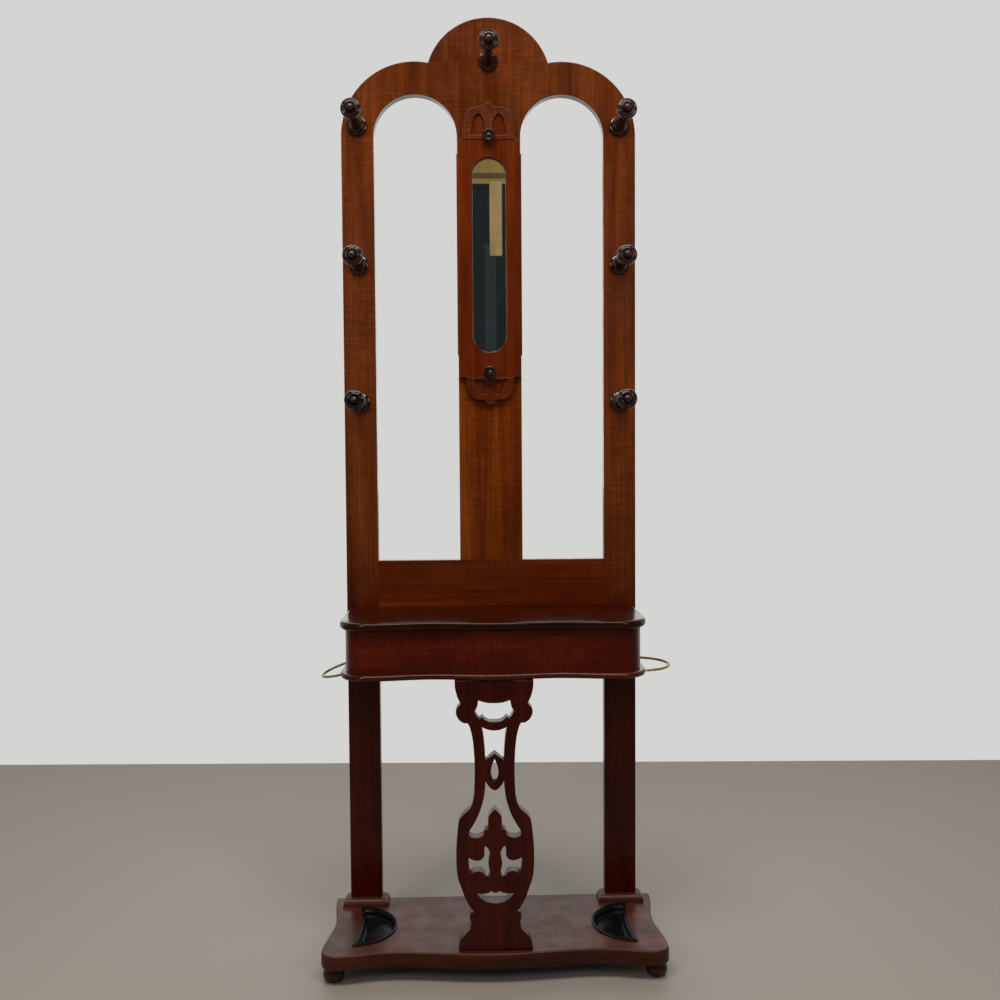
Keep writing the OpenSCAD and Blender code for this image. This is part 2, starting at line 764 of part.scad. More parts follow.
crest_lobe();
arch_rail();
left_stile();
right_stile();
centre_splat();
lower_rail();
mirror_frame();
mirror_glass();
mirror_backboard();
mirror_wedges();
backboard_screws();
upper_frame_knob();
lower_frame_knob();
crest_peg();
left_upper_peg();
left_middle_peg();
left_lower_peg();
right_upper_peg();
right_middle_peg();
right_lower_peg();
table_top();
frieze_front();
left_frieze_corner();
right_frieze_corner();
left_frieze_side();
right_frieze_side();
frieze_floor();
glue_blocks();
table_screws();
left_stick_ring();
right_stick_ring();
fret_support();
fret_dowels();
base_board();
left_plinth();
right_plinth();
front_left_foot();
front_right_foot();
rear_left_foot();
rear_right_foot();
left_drip_tray();
right_drip_tray();
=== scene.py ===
# %% [markdown]
# # A mahogany hall stand with hooks
# The real piece is a tall open back with two arches, seven turned coat pegs and a narrow mirror. A
# shallow serpentine table, a fretted support and a serpentine base stand in front of it. The CAD
# frame is loaded first and stays as it is. Each piece below is a finer mesh that stands in for a
# CAD node, or the node itself with a better finish.

# %% Load the frame
import math
import bpy
import bmesh
from mathutils import Matrix, Vector


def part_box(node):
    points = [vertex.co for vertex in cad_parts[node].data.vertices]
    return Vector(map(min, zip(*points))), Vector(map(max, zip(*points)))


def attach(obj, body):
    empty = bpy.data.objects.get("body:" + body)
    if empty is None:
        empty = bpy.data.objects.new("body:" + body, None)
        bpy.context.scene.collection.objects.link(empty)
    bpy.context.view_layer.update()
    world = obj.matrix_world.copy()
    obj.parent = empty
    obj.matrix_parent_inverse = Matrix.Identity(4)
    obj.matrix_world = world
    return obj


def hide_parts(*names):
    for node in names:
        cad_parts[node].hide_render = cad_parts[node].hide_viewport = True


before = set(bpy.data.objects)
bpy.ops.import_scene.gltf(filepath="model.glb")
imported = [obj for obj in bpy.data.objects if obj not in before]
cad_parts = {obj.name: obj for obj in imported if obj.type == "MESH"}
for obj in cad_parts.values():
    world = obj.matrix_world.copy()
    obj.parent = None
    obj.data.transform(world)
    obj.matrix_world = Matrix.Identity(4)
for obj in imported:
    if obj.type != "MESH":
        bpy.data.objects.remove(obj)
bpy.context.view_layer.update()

# %% [markdown]
# ## Where things are
# The stand was measured in millimetres from the front face of its back boards: x to the right, f
# forward from that face, z up from the floor. One small function turns such a place into metres, so
# every number here can be checked against the CAD.

# %% Places
MM = 0.001
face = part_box("centre_splat")[0].y


def place(x, f, z):
    return Vector((x * MM, face - f * MM, z * MM))


def size_of(node):
    low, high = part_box(node)
    near, far = (face - high.y) / MM, (face - low.y) / MM
    return (low.x / MM, near, low.z / MM), (high.x / MM, far, high.z / MM)


TOTAL_H = size_of("crest_lobe")[1][2]
BASE_LOW, BASE_TOP = size_of("base_board")[0][2], size_of("base_board")[1][2]
TABLE_H = size_of("table_top")[1][2]
FLOOR_LOW = size_of("frieze_floor")[0][2]
BOARD_T = 24
print("height", round(TOTAL_H), "base top", round(BASE_TOP), "table", round(TABLE_H))

# %% [markdown]
# ## Floor, light and camera
# A hallway's window light is soft and comes from above and in front, so the fronts above the table
# are bright, and what is under the table is dark; painted shade in the uprights' wood deepens that dark.
# One narrow panel at each side gives the pair of small highlights that polished turnings show, and the
# sky is brighter towards the wall behind. The floor is a plain grey-brown sheet that is turned a little,
# so its far edge isn't quite level.

# %% Floor


def linked(name, data):
    thing = bpy.data.objects.new(name, data)
    bpy.context.scene.collection.objects.link(thing)
    return thing


def mesh_of(bm, name):
    mesh = bpy.data.meshes.new(name)
    bm.to_mesh(mesh)
    bm.free()
    return mesh


FLOOR_HALF_W, FLOOR_HALF_L, FLOOR_MIDDLE, FLOOR_TURN = 7, 3.4, -2.04, -1.7
floor_mesh = bmesh.new()
bmesh.ops.create_grid(floor_mesh, x_segments=8, y_segments=8, size=1)
bmesh.ops.scale(floor_mesh, vec=(FLOOR_HALF_W, FLOOR_HALF_L, 1), verts=floor_mesh.verts)
bmesh.ops.translate(floor_mesh, vec=(0, FLOOR_MIDDLE, 0), verts=floor_mesh.verts)
floor_turned = Matrix.Rotation(math.radians(FLOOR_TURN), 3, "Z")
bmesh.ops.rotate(floor_mesh, cent=(0, 0, 0), matrix=floor_turned, verts=floor_mesh.verts)
floor = linked("pale_floor", mesh_of(floor_mesh, "pale_floor"))
print("floor", [round(v, 1) for v in floor.dimensions])

# %% Floor finish and sky


def add_node(tree, kind, **settings):
    node = tree.nodes.new("ShaderNode" + kind)
    for key, value in settings.items():
        setattr(node, key, value)
    return node


floor_paint = bpy.data.materials.new("pale_floor")
floor_paint.use_nodes = True
floor_shader = floor_paint.node_tree.nodes["Principled BSDF"]
floor_shader.inputs["Base Color"].default_value = (0.262, 0.230, 0.196, 1)
floor_shader.inputs["Roughness"].default_value = 0.6
floor.data.materials.append(floor_paint)

world = bpy.data.worlds.new("soft_sky")
bpy.context.scene.world = world
world.use_nodes = True
sky = world.node_tree
sky.nodes.clear()
seen = add_node(sky, "LightPath")
plain = add_node(sky, "Background")
plain.inputs["Color"].default_value = (0.66, 0.66, 0.65, 1)
dim = add_node(sky, "Background")
dim.inputs["Color"].default_value = (0.98, 0.97, 0.95, 1)
compass = add_node(sky, "TexCoord")
split = add_node(sky, "SeparateXYZ")
toward_wall = add_node(sky, "MapRange")
for name, number in (("From Min", -0.25), ("From Max", 0.55), ("To Min", 0.10), ("To Max", 0.66)):
    toward_wall.inputs[name].default_value = number
sky.links.new(compass.outputs["Generated"], split.inputs["Vector"])
sky.links.new(split.outputs["Y"], toward_wall.inputs["Value"])
sky.links.new(toward_wall.outputs["Result"], dim.inputs["Strength"])
pick = add_node(sky, "MixShader")
out = add_node(sky, "OutputWorld")
sky.links.new(seen.outputs["Is Camera Ray"], pick.inputs["Fac"])
sky.links.new(dim.outputs["Background"], pick.inputs[1])
sky.links.new(plain.outputs["Background"], pick.inputs[2])
sky.links.new(pick.outputs["Shader"], out.inputs["Surface"])
bpy.context.scene.view_settings.view_transform = "Standard"

# %% Lights


def soft_panel(name, at, aim, wide, high, power, tint=(1, 1, 1)):
    """An area light that faces a point."""
    data = bpy.data.lights.new(name, "AREA")
    data.shape = "RECTANGLE"
    data.size, data.size_y = wide, high
    data.energy = power
    data.color = tint
    lamp = linked(name, data)
    lamp.location = at
    lamp.rotation_euler = (Vector(aim) - Vector(at)).to_track_quat("-Z", "Y").to_euler()


soft_panel("ceiling_light", (-0.1, -1.35, 3.5), (0, -0.1, 0.9), 2.6, 0.9, 92, (1, 0.97, 0.93))
soft_panel("left_window", (-1.5, -2.2, 2.0), (0, 0, 1.5), 0.35, 0.8, 12, (1, 0.97, 0.94))
soft_panel("right_window", (1.5, -2.2, 2.0), (0, 0, 1.5), 0.35, 0.8, 11, (1, 0.98, 0.96))
soft_panel("wall_bounce", (0, 1.6, 1.8), (0, 0, 0.6), 3.0, 2.2, 16)

# %% Camera
SENSOR = 36
LENS_RATIO = 1.024
HEADING, PITCH_DOWN, ROLL = -1.367, 2.58, -0.381
camera_data = bpy.data.cameras.new("camera")
camera_data.sensor_width = SENSOR
camera_data.lens = SENSOR * LENS_RATIO
camera = linked("camera", camera_data)
turn = (Matrix.Rotation(math.radians(HEADING), 4, "Z")
        @ Matrix.Rotation(math.radians(90 - PITCH_DOWN), 4, "X")
        @ Matrix.Rotation(math.radians(ROLL), 4, "Z"))
camera.matrix_world = Matrix.Translation(place(-34.2, 2261.1, 1071.1)) @ turn
bpy.context.scene.camera = camera
print("camera", [round(v, 3) for v in camera.location])

# %% [markdown]
# ## Nodes shared by the finishes
# Wood on an old stand has four things going on: broad streaks along the grain, fine dark pores,
# ripples across the grain that polishers call fiddleback, and slow patches of wear. They could be
# made in each material, but one group with named outputs keeps them in step. The grain runs along
# Z inside the group, so each material turns its coordinates before they go in.

# %% A small helper for nodes


def noise(tree, vector, scale, detail=4, rough=0.55, distortion=0.0):
    """A noise texture that reads a vector socket."""
    node = add_node(tree, "TexNoise")
    node.inputs["Scale"].default_value = scale
    node.inputs["Detail"].default_value = detail
    node.inputs["Roughness"].default_value = rough
    node.inputs["Distortion"].default_value = distortion
    tree.links.new(vector, node.inputs["Vector"])
    return node.outputs["Fac"]


def stretched(tree, vector, across, along):
    node = add_node(tree, "VectorMath", operation="MULTIPLY")
    node.inputs[1].default_value = (across, across, along)
    tree.links.new(vector, node.inputs[0])
    return node.outputs["Vector"]


def ranged(tree, value, low, high, to_low=0.0, to_high=1.0):
    node = add_node(tree, "MapRange", interpolation_type="SMOOTHSTEP")
    for name, number in (("From Min", low), ("From Max", high), ("To Min", to_low), ("To Max", to_high)):
        node.inputs[name].default_value = number
    tree.links.new(value, node.inputs["Value"])
    return node.outputs["Result"]


def math_node(tree, operation, a, b):
    node = add_node(tree, "Math", operation=operation)
    for socket, value in zip(node.inputs, (a, b)):
        if isinstance(value, (int, float)):
            socket.default_value = value
        else:
            tree.links.new(value, socket)
    return node.outputs[0]


# %% The wood group


def new_group(name, outputs):
    """An empty node group with a Vector input, and the socket that the vector comes from."""
    group = bpy.data.node_groups.new(name, "ShaderNodeTree")
    group.interface.new_socket("Vector", in_out="INPUT", socket_type="NodeSocketVector")
    for output in outputs:
        group.interface.new_socket(output, in_out="OUTPUT", socket_type="NodeSocketFloat")
    return group, group.nodes.new("NodeGroupInput").outputs["Vector"]


def give_out(group, values):
    end = group.nodes.new("NodeGroupOutput")
    for name, value in values.items():
        group.links.new(value, end.inputs[name])
    print(group.name, "with", len(group.nodes), "nodes")


def grainy(group, vector, across, along, *settings):
    """Noise that is finer across the grain than along it, or the other way round."""
    return noise(group, stretched(group, vector, across, along), 1, *settings)


wood_group, wood_at = new_group("old_wood", ("Streaks", "Pores", "Ripple", "Patches"))
broad = grainy(wood_group, wood_at, 26, 1.6, 6, 0.62, 0.35)
fibres = grainy(wood_group, wood_at, 210, 5, 3, 0.6)
streaks = math_node(wood_group, "ADD", math_node(wood_group, "MULTIPLY", broad, 0.68),
                    math_node(wood_group, "MULTIPLY", fibres, 0.32))
pores = ranged(wood_group, grainy(wood_group, wood_at, 900, 42, 2, 0.5), 0.60, 0.70)
ripple_field = grainy(wood_group, wood_at, 20, 230, 3, 0.55, 0.6)
ripple_where = grainy(wood_group, wood_at, 7, 5, 2)
ripple = math_node(wood_group, "MULTIPLY", ranged(wood_group, ripple_field, 0.32, 0.68),
                   ranged(wood_group, ripple_where, 0.30, 0.62, 0.35, 1.0))
patches = grainy(wood_group, wood_at, 5, 4, 4, 0.6)
give_out(wood_group, {"Streaks": streaks, "Pores": pores, "Ripple": ripple, "Patches": patches})

# %% [markdown]
# Polish is rubbed thin where hands and coats touch it, and it holds fine scratches. A second group
# gives a slow cloud for the roughness, and thin crossing scratches, for wood, iron and brass alike.

# %% The rubbed polish group
polish_group, polish_at = new_group("rubbed_polish", ("Cloud", "Scratches", "Specks"))
cloud = noise(polish_group, polish_at, 22, 5, 0.6, 0.2)
long_lines = ranged(polish_group, grainy(polish_group, polish_at, 60, 900, 1), 0.70, 0.74)
cross_lines = ranged(polish_group, grainy(polish_group, polish_at, 700, 40, 1), 0.71, 0.75)
scratches = math_node(polish_group, "MAXIMUM", long_lines, cross_lines)
specks = ranged(polish_group, noise(polish_group, polish_at, 700, 2), 0.68, 0.74)
give_out(polish_group, {"Cloud": cloud, "Scratches": scratches, "Specks": specks})

# %% [markdown]
# ## The wood finishes
# All the wood is mahogany under french polish, but each board has its own figure and tone. One
# function builds the material, and the calls say what is different: three tones, which way the
# grain runs, how strong the ripples are, how rough the polish is and how thick its coat. The
# uprights carry painted shade: their colour is darker below the table, and lightens off a little above
# it.

# %% Wood material
GRAIN = {"up": (0, 0, 0), "across": (0, math.radians(90), 0)}
# How far above the table top the painted shade fades out, in mm.
SHADE_RISE = 250


def tone(tree, factor, stops):
    ramp = add_node(tree, "ValToRGB")
    ramp.color_ramp.elements[0].position = stops[0][0]
    ramp.color_ramp.elements[0].color = (*stops[0][1], 1)
    ramp.color_ramp.elements[1].position = stops[-1][0]
    ramp.color_ramp.elements[1].color = (*stops[-1][1], 1)
    for position, colour in stops[1:-1]:
        ramp.color_ramp.elements.new(position).color = (*colour, 1)
    tree.links.new(factor, ramp.inputs["Fac"])
    return ramp.outputs["Color"]


def blended(tree, kind, factor, a, b):
    node = add_node(tree, "Mix", data_type="RGBA", blend_type=kind)
    for socket, value in ((node.inputs[0], factor), (node.inputs[6], a), (node.inputs[7], b)):
        if isinstance(value, (int, float)):
            socket.default_value = value
        elif isinstance(value, tuple):
            socket.default_value = (*value, 1)
        else:
            tree.links.new(value, socket)
    return node.outputs[2]


def start_material(name, grain="up", shift=(0, 0, 0)):
    material = bpy.data.materials.new(name)
    material.use_nodes = True
    tree = material.node_tree
    spot = add_node(tree, "TexCoord")
    mapping = add_node(tree, "Mapping")
    mapping.inputs["Rotation"].default_value = GRAIN[grain]
    mapping.inputs["Location"].default_value = shift
    tree.links.new(spot.outputs["Object"], mapping.inputs["Vector"])
    return material, tree, tree.nodes["Principled BSDF"], mapping.outputs["Vector"]


def bumped(tree, shader, height, strength, distance):
    bump = add_node(tree, "Bump")
    bump.inputs["Strength"].default_value = strength
    bump.inputs["Distance"].default_value = distance
    tree.links.new(height, bump.inputs["Height"])
    tree.links.new(bump.outputs["Normal"], shader.inputs["Normal"])


def mahogany(name, dark, middle, light, grain, ripple, gloss=0.20, coat=0.03, shift=(0, 0, 0),
             sheen=0.16, painted_shade=None):
    """Polished mahogany. Gloss is the roughness, and the last argument is the tint of painted shade that
    darkens the wood below the table.
    """
    material, tree, shader, vector = start_material(name, grain, shift)
    wood = add_node(tree, "Group", node_tree=wood_group)
    rubbed = add_node(tree, "Group", node_tree=polish_group)
    tree.links.new(vector, wood.inputs["Vector"])
    tree.links.new(vector, rubbed.inputs["Vector"])
    colour = tone(tree, wood.outputs["Streaks"], ((0.34, dark), (0.50, middle), (0.66, light)))
    for field, limits in (("Ripple", (0.0, 1.0, 1.0 - ripple, 1.0 + ripple * 0.55)),
                          ("Patches", (0.3, 0.7, 0.82, 1.14))):
        value = ranged(tree, wood.outputs[field], *limits)
        colour = blended(tree, "MULTIPLY", 1.0, colour, tone_of_value(tree, value))
    # Painted shade: below the table the colour is multiplied by the tint, which fades out a little above
    # the table top and stands in for the table's shadow.
    if painted_shade:
        height = add_node(tree, "SeparateXYZ")
        tree.links.new(spot_of(tree), height.inputs["Vector"])
        shade_ends_at = (TABLE_H + SHADE_RISE) * MM
        shade_strength = ranged(tree, height.outputs["Z"], FLOOR_LOW * MM, shade_ends_at, 1.0, 0.0)
        colour = blended(tree, "MULTIPLY", shade_strength, colour, painted_shade)
    pore_mask = math_node(tree, "MULTIPLY", wood.outputs["Pores"], 0.55)
    colour = blended(tree, "MIX", pore_mask, colour, tuple(0.35 * c for c in dark))
    tree.links.new(colour, shader.inputs["Base Color"])
    rough = ranged(tree, rubbed.outputs["Cloud"], 0.3, 0.7, gloss * 0.8, gloss * 1.35)
    scratch = math_node(tree, "MULTIPLY", rubbed.outputs["Scratches"], 0.10)
    tree.links.new(math_node(tree, "ADD", rough, scratch), shader.inputs["Roughness"])
    shader.inputs["Specular IOR Level"].default_value = sheen
    shader.inputs["Coat Weight"].default_value = coat
    shader.inputs["Coat Roughness"].default_value = 0.10
    relief = math_node(tree, "ADD", math_node(tree, "MULTIPLY", wood.outputs["Pores"], -0.6),
                       math_node(tree, "MULTIPLY", wood.outputs["Streaks"], 0.5))
    bumped(tree, shader, relief, 0.25, 0.0004)
    return material


def spot_of(tree):
    """Object coordinates, which are the stand's own metres."""
    return next(n for n in tree.nodes if n.type == "TEX_COORD").outputs["Object"]


def tone_of_value(tree, value):
    node = add_node(tree, "CombineColor")
    for socket in node.inputs[:3]:
        tree.links.new(value, socket)
    return node.outputs["Color"]


# The uprights' wood carries painted shade below the table, where the table's shadow falls.
back_wood = mahogany("fiddleback_mahogany", (0.070, 0.0120, 0.0012), (0.135, 0.0270, 0.0036),
                     (0.205, 0.0500, 0.0090), "up", 0.22, painted_shade=(0.36, 0.13, 0.12))
# The crest and the arched head use darker copies of the upright wood: painted shade that takes off the
# extra light the ceiling panel throws on the head.
crest_wood = mahogany("crest_mahogany", (0.052, 0.0086, 0.0008), (0.098, 0.0185, 0.0022),
                      (0.148, 0.0350, 0.0058), "up", 0.22, shift=(0.6, 0.3, 0.0), sheen=0.14)
arch_wood = mahogany("arch_mahogany", (0.056, 0.0092, 0.0008), (0.104, 0.0200, 0.0020),
                     (0.156, 0.0370, 0.0054), "up", 0.20, sheen=0.14)
carved_wood = mahogany("carving_mahogany", (0.050, 0.0070, 0.0008), (0.092, 0.0150, 0.0020),
                       (0.145, 0.0310, 0.0050), "up", 0.26, 0.24, 0.02, shift=(0.4, 0.6, 0.1),
                       sheen=0.22)
rail_wood = mahogany("rail_mahogany", (0.048, 0.0060, 0.0006), (0.085, 0.0110, 0.0010),
                     (0.125, 0.0210, 0.0022), "across", 0.16, shift=(0.3, 0.1, 0.2))
splat_wood = mahogany("splat_mahogany", (0.065, 0.0090, 0.0006), (0.130, 0.0220, 0.0014),
                      (0.205, 0.0480, 0.0040), "up", 0.18, shift=(0.7, 0.2, 0.4))
frame_wood = mahogany("frame_mahogany", (0.046, 0.0056, 0.0006), (0.092, 0.0118, 0.0010),
                      (0.142, 0.0245, 0.0028), "up", 0.10, 0.18, 0.06, shift=(1.3, 0.0, 0.9), sheen=0.18)
frieze_wood = mahogany("frieze_mahogany", (0.040, 0.0030, 0.0007), (0.072, 0.0056, 0.0012),
                       (0.115, 0.0150, 0.0024), "across", 0.20, 0.18, 0.05, shift=(2.1, 0.4, 0.0),
                       sheen=0.18)
fret_wood = mahogany("fret_mahogany", (0.020, 0.0012, 0.0003), (0.038, 0.0024, 0.0006),
                     (0.066, 0.0056, 0.0012), "up", 0.12, shift=(3.7, 0.4, 0.6))
table_wood = mahogany("table_mahogany", (0.014, 0.0015, 0.0003), (0.027, 0.0031, 0.0005),
                      (0.046, 0.0070, 0.0012), "across", 0.12, 0.18, 0.10, shift=(0.0, 1.9, 0.3))
base_wood = mahogany("base_mahogany", (0.025, 0.0042, 0.0010), (0.052, 0.0100, 0.0026),
                     (0.088, 0.0215, 0.0070), "across", 0.12, 0.34, 0.03, shift=(0.9, 0.2, 1.1),
                     sheen=0.19)
edge_wood = mahogany("moulding_mahogany", (0.024, 0.0028, 0.0006), (0.050, 0.0062, 0.0014),
                     (0.090, 0.0150, 0.0036), "across", 0.10, 0.18, 0.14, shift=(0.2, 1.0, 0.6),
                     sheen=0.18)
print("wood finishes", len([m for m in bpy.data.materials if "mahogany" in m.name]))

# %% [markdown]
# ## Finishes that aren't polished mahogany
# The turnings are ebonised: nearly black, with a little brown where the light gets in, and very
# glossy. The feet are redder. The drip trays are japanned iron, the stick rings are old brass that
# has dulled between the twists, and the wood that nobody sees is plain and dry.

# %% Turned wood, iron, brass, mirror and plain wood


def coated(name, low, high, rough, metal=0.0, coat=0.0, scratch=0.08, relief=0.15, sheen=0.5):
    """A smooth finish whose colour and roughness wander slowly, with fine scratches and specks."""
    material, tree, shader, vector = start_material(name)
    shader.inputs["Specular IOR Level"].default_value = sheen
    rubbed = add_node(tree, "Group", node_tree=polish_group)
    tree.links.new(vector, rubbed.inputs["Vector"])
    colour = tone(tree, rubbed.outputs["Cloud"], ((0.35, low), (0.65, high)))
    dust = math_node(tree, "MULTIPLY", rubbed.outputs["Specks"], 0.10)
    colour = blended(tree, "MIX", dust, colour, (0.25, 0.20, 0.16))
    tree.links.new(colour, shader.inputs["Base Color"])
    cloudy = ranged(tree, rubbed.outputs["Cloud"], 0.3, 0.7, rough * 0.75, rough * 1.4)
    marked = math_node(tree, "MULTIPLY", rubbed.outputs["Scratches"], scratch)
    tree.links.new(math_node(tree, "ADD", cloudy, marked), shader.inputs["Roughness"])
    shader.inputs["Metallic"].default_value = metal
    shader.inputs["Coat Weight"].default_value = coat
    shader.inputs["Coat Roughness"].default_value = 0.07
    bumped(tree, shader, rubbed.outputs["Cloud"], relief, 0.0006)
    return material


def dry_wood(name, dark, light):
    material, tree, shader, vector = start_material(name)
    wood = add_node(tree, "Group", node_tree=wood_group)
    tree.links.new(vector, wood.inputs["Vector"])
    colour = tone(tree, wood.outputs["Streaks"], ((0.36, dark), (0.66, light)))
    colour = blended(tree, "MIX", math_node(tree, "MULTIPLY", wood.outputs["Pores"], 0.4), colour,
                     tuple(0.4 * c for c in dark))
    tree.links.new(colour, shader.inputs["Base Color"])
    rough = ranged(tree, wood.outputs["Patches"], 0.3, 0.7, 0.55, 0.8)
    tree.links.new(rough, shader.inputs["Roughness"])
    bumped(tree, shader, wood.outputs["Streaks"], 0.4, 0.0006)
    return material


ebonised = coated("ebonised_turning", (0.0045, 0.0016, 0.0010), (0.030, 0.0070, 0.0032), 0.14,
                  coat=0.25, sheen=0.35)
foot_polish = coated("foot_polish", (0.022, 0.0050, 0.0022), (0.052, 0.0130, 0.0060), 0.20,
                     coat=0.1, sheen=0.25)
japanned = coated("japanned_iron", (0.0020, 0.0021, 0.0024), (0.0050, 0.0050, 0.0052), 0.26,
                  sheen=0.10)
old_brass = coated("old_brass", (0.16, 0.115, 0.045), (0.42, 0.32, 0.14), 0.34, metal=0.85, relief=0.4)
screw_brass = coated("screw_brass", (0.20, 0.15, 0.07), (0.40, 0.31, 0.15), 0.42, metal=0.9)
silvering = coated("silvered_glass", (0.72, 0.74, 0.72), (0.90, 0.91, 0.89), 0.012, metal=1.0,
                   scratch=0.0, relief=0.0)
plain_board = dry_wood("plain_backboard", (0.10, 0.055, 0.026), (0.24, 0.15, 0.080))
pine = dry_wood("pine_block", (0.30, 0.19, 0.090), (0.52, 0.37, 0.200))
print("all finishes", len(bpy.data.materials))

# %% [markdown]
# ## Outlines
# The shaped boards were sawn to paper patterns, so their outlines are a few chosen points with a
# smooth curve through them, plus true arcs. A Catmull-Rom curve passes through every point that it
# is given, so the points can be measured on the board itself.

# %% Curves through a few points


def curve_through(points, steps=6):
    last = len(points) - 1
    line = []
    for i in range(last):
        a, b, c, d = (Vector(points[k]) for k in (max(i - 1, 0), i, i + 1, min(i + 2, last)))
        for j in range(steps):
            t = j / steps
            spot = 0.5 * (2 * b + (c - a) * t + (2 * a - 5 * b + 4 * c - d) * t ** 2
                          + (3 * b - 3 * c + d - a) * t ** 3)
            line.append((spot.x, spot.y))
    return line + [tuple(points[last])]


def arc_of(x, z, r, start, end, steps=32):
    angles = [math.radians(start + (end - start) * i / steps) for i in range(steps + 1)]
    return [(x + r * math.cos(a), z + r * math.sin(a)) for a in angles]


def both_sides(half):
    """The half outline, then its mirror image taken back the other way."""
    other = [(-x, z) for x, z in reversed(half)]
    line = half + other
    return [p for i, p in enumerate(line) if math.dist(p, line[i - 1]) > 1e-4]


def moved(line, dx=0.0, dz=0.0):
    return [(x + dx, z + dz) for x, z in line]


def other_side(line):
    return [(-x, z) for x, z in reversed(line)]


print("arc check", [round(v) for v in arc_of(0, 0, 10, 0, 90, 1)[1]])

# %% [markdown]
# ## From an outline to a board
# A board with fretted holes could be cut with booleans, but filling the outline and the holes
# together gives the same face at once. It is extruded to its thickness, and then three small insets
# that rise by less each time round its front edge over, as glasspaper does.

# %% Board helpers
EDGE_BAND = 0.5


def closed_line(bm, points):
    verts = [bm.verts.new(p) for p in points]
    return [bm.edges.new((verts[i - 1], verts[i])) for i in range(len(verts))]


def faces_in(result):
    return [g for g in result["geom"] if isinstance(g, bmesh.types.BMFace)]


def filled(bm, edges):
    return faces_in(bmesh.ops.triangle_fill(bm, use_beauty=True, edges=edges))


def lifted(bm, faces, way, first=False):
    """Extrude faces. Only the first sheet stays behind, as the underside."""
    tops = faces_in(bmesh.ops.extrude_face_region(bm, geom=faces))
    bmesh.ops.translate(bm, verts=list({v for f in tops for v in f.verts}), vec=way)
    if not first:
        bmesh.ops.delete(bm, geom=[f for f in faces if f.is_valid], context="FACES")
    return tops


def rounded_over(bm, faces, radius, steps=3):
    """Insets that rise less and less, then one level ring that keeps the face flat."""
    before = (0.0, 0.0)
    for i in range(1, steps + 1):
        angle = math.radians(90 * i / steps)
        now = (radius * (1 - math.cos(angle)), radius * math.sin(angle))
        bmesh.ops.inset_region(bm, faces=faces, thickness=(now[0] - before[0]) * MM,
                               depth=(now[1] - before[1]) * MM, use_boundary=True, use_even_offset=True)
        before = now
    bmesh.ops.inset_region(bm, faces=faces, thickness=0.3 * MM, depth=0, use_boundary=True,
                           use_even_offset=True)


def add_board(bm, loops, back, front, radius=1.0):
    """An upright board between two distances in front of the back's face."""
    lines = [closed_line(bm, [place(x, back, z) for x, z in loop]) for loop in loops]
    faces = filled(bm, [e for line in lines for e in line])
    bmesh.ops.recalc_face_normals(bm, faces=faces)
    if faces[0].normal.y > 0:
        bmesh.ops.reverse_faces(bm, faces=faces)
    body = front - back - radius - EDGE_BAND
    faces = lifted(bm, faces, Vector((0, -body * MM, 0)), first=True)
    faces = lifted(bm, faces, Vector((0, -EDGE_BAND * MM, 0)))
    rounded_over(bm, faces, radius)


def finish_piece(bm, name, material, stands_for, body="stand", crease=38):
    """Turn the bmesh into a piece that rides on its body."""
    bmesh.ops.remove_doubles(bm, verts=bm.verts, dist=1e-6)
    bmesh.ops.recalc_face_normals(bm, faces=bm.faces)
    mesh = mesh_of(bm, name)
    mesh.materials.append(material)
    mesh.shade_smooth()
    mesh.set_sharp_from_angle(angle=math.radians(crease))
    piece = linked(name, mesh)
    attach(piece, body)
    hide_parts(*stands_for)
    print(name, len(mesh.polygons), "faces")


# %% [markdown]
# ## The tall back
# Two stiles, a splat and a lower rail are joined under one sawn head with a round crest. Their
# faces are flush, so every joint is only a hairline. Drawing the whole back as one outline and then
# sawing it at the joints with bisect_plane keeps them flush, and no joint gets a rounded edge. The
# cuts miss the existing faces by a hair, because a cut that lies in a face leaves the piece open.

# %% The back's outline
BACK_HALF = size_of("right_stile")[1][0]
STILE_IN = size_of("lower_rail")[1][0]
SPLAT_HALF = size_of("centre_splat")[1][0]
SPRING = size_of("centre_splat")[1][2]
RAIL_LOW, RAIL_TOP = size_of("lower_rail")[0][2], size_of("lower_rail")[1][2]
CREST_R = 136
CREST_MID = TOTAL_H - CREST_R
ARCH_R = (STILE_IN - SPLAT_HALF) / 2
ARCH_X = SPLAT_HALF + ARCH_R
SHOULDER_R = BACK_HALF - ARCH_X

gap = math.hypot(ARCH_X, CREST_MID - SPRING)
toward_crest = math.degrees(math.atan2(CREST_MID - SPRING, -ARCH_X))
spread = math.degrees(math.acos((SHOULDER_R ** 2 + gap ** 2 - CREST_R ** 2) / (2 * SHOULDER_R * gap)))
notch_angle = toward_crest - spread
notch = (ARCH_X + SHOULDER_R * math.cos(math.radians(notch_angle)),
         SPRING + SHOULDER_R * math.sin(math.radians(notch_angle)))
crest_start = math.degrees(math.atan2(notch[1] - CREST_MID, notch[0]))
back_half_line = ([(STILE_IN, RAIL_LOW), (STILE_IN, BASE_TOP), (BACK_HALF, BASE_TOP)]
                  + arc_of(ARCH_X, SPRING, SHOULDER_R, 0, notch_angle, 48)
                  + arc_of(0, CREST_MID, CREST_R, crest_start, 90, 48)[1:])
arch_hole = ([(SPLAT_HALF, RAIL_TOP), (STILE_IN, RAIL_TOP)]
             + arc_of(ARCH_X, SPRING, ARCH_R, 0, 180, 64))
print("notch", [round(v) for v in notch])

# %% Saw the back into its boards
glass_low, glass_high = size_of("mirror_glass")
GLASS_HALF = glass_high[0]
MIRROR_MID = (glass_low[2] + glass_high[2]) / 2
GLASS_END = glass_high[2] - MIRROR_MID - GLASS_HALF


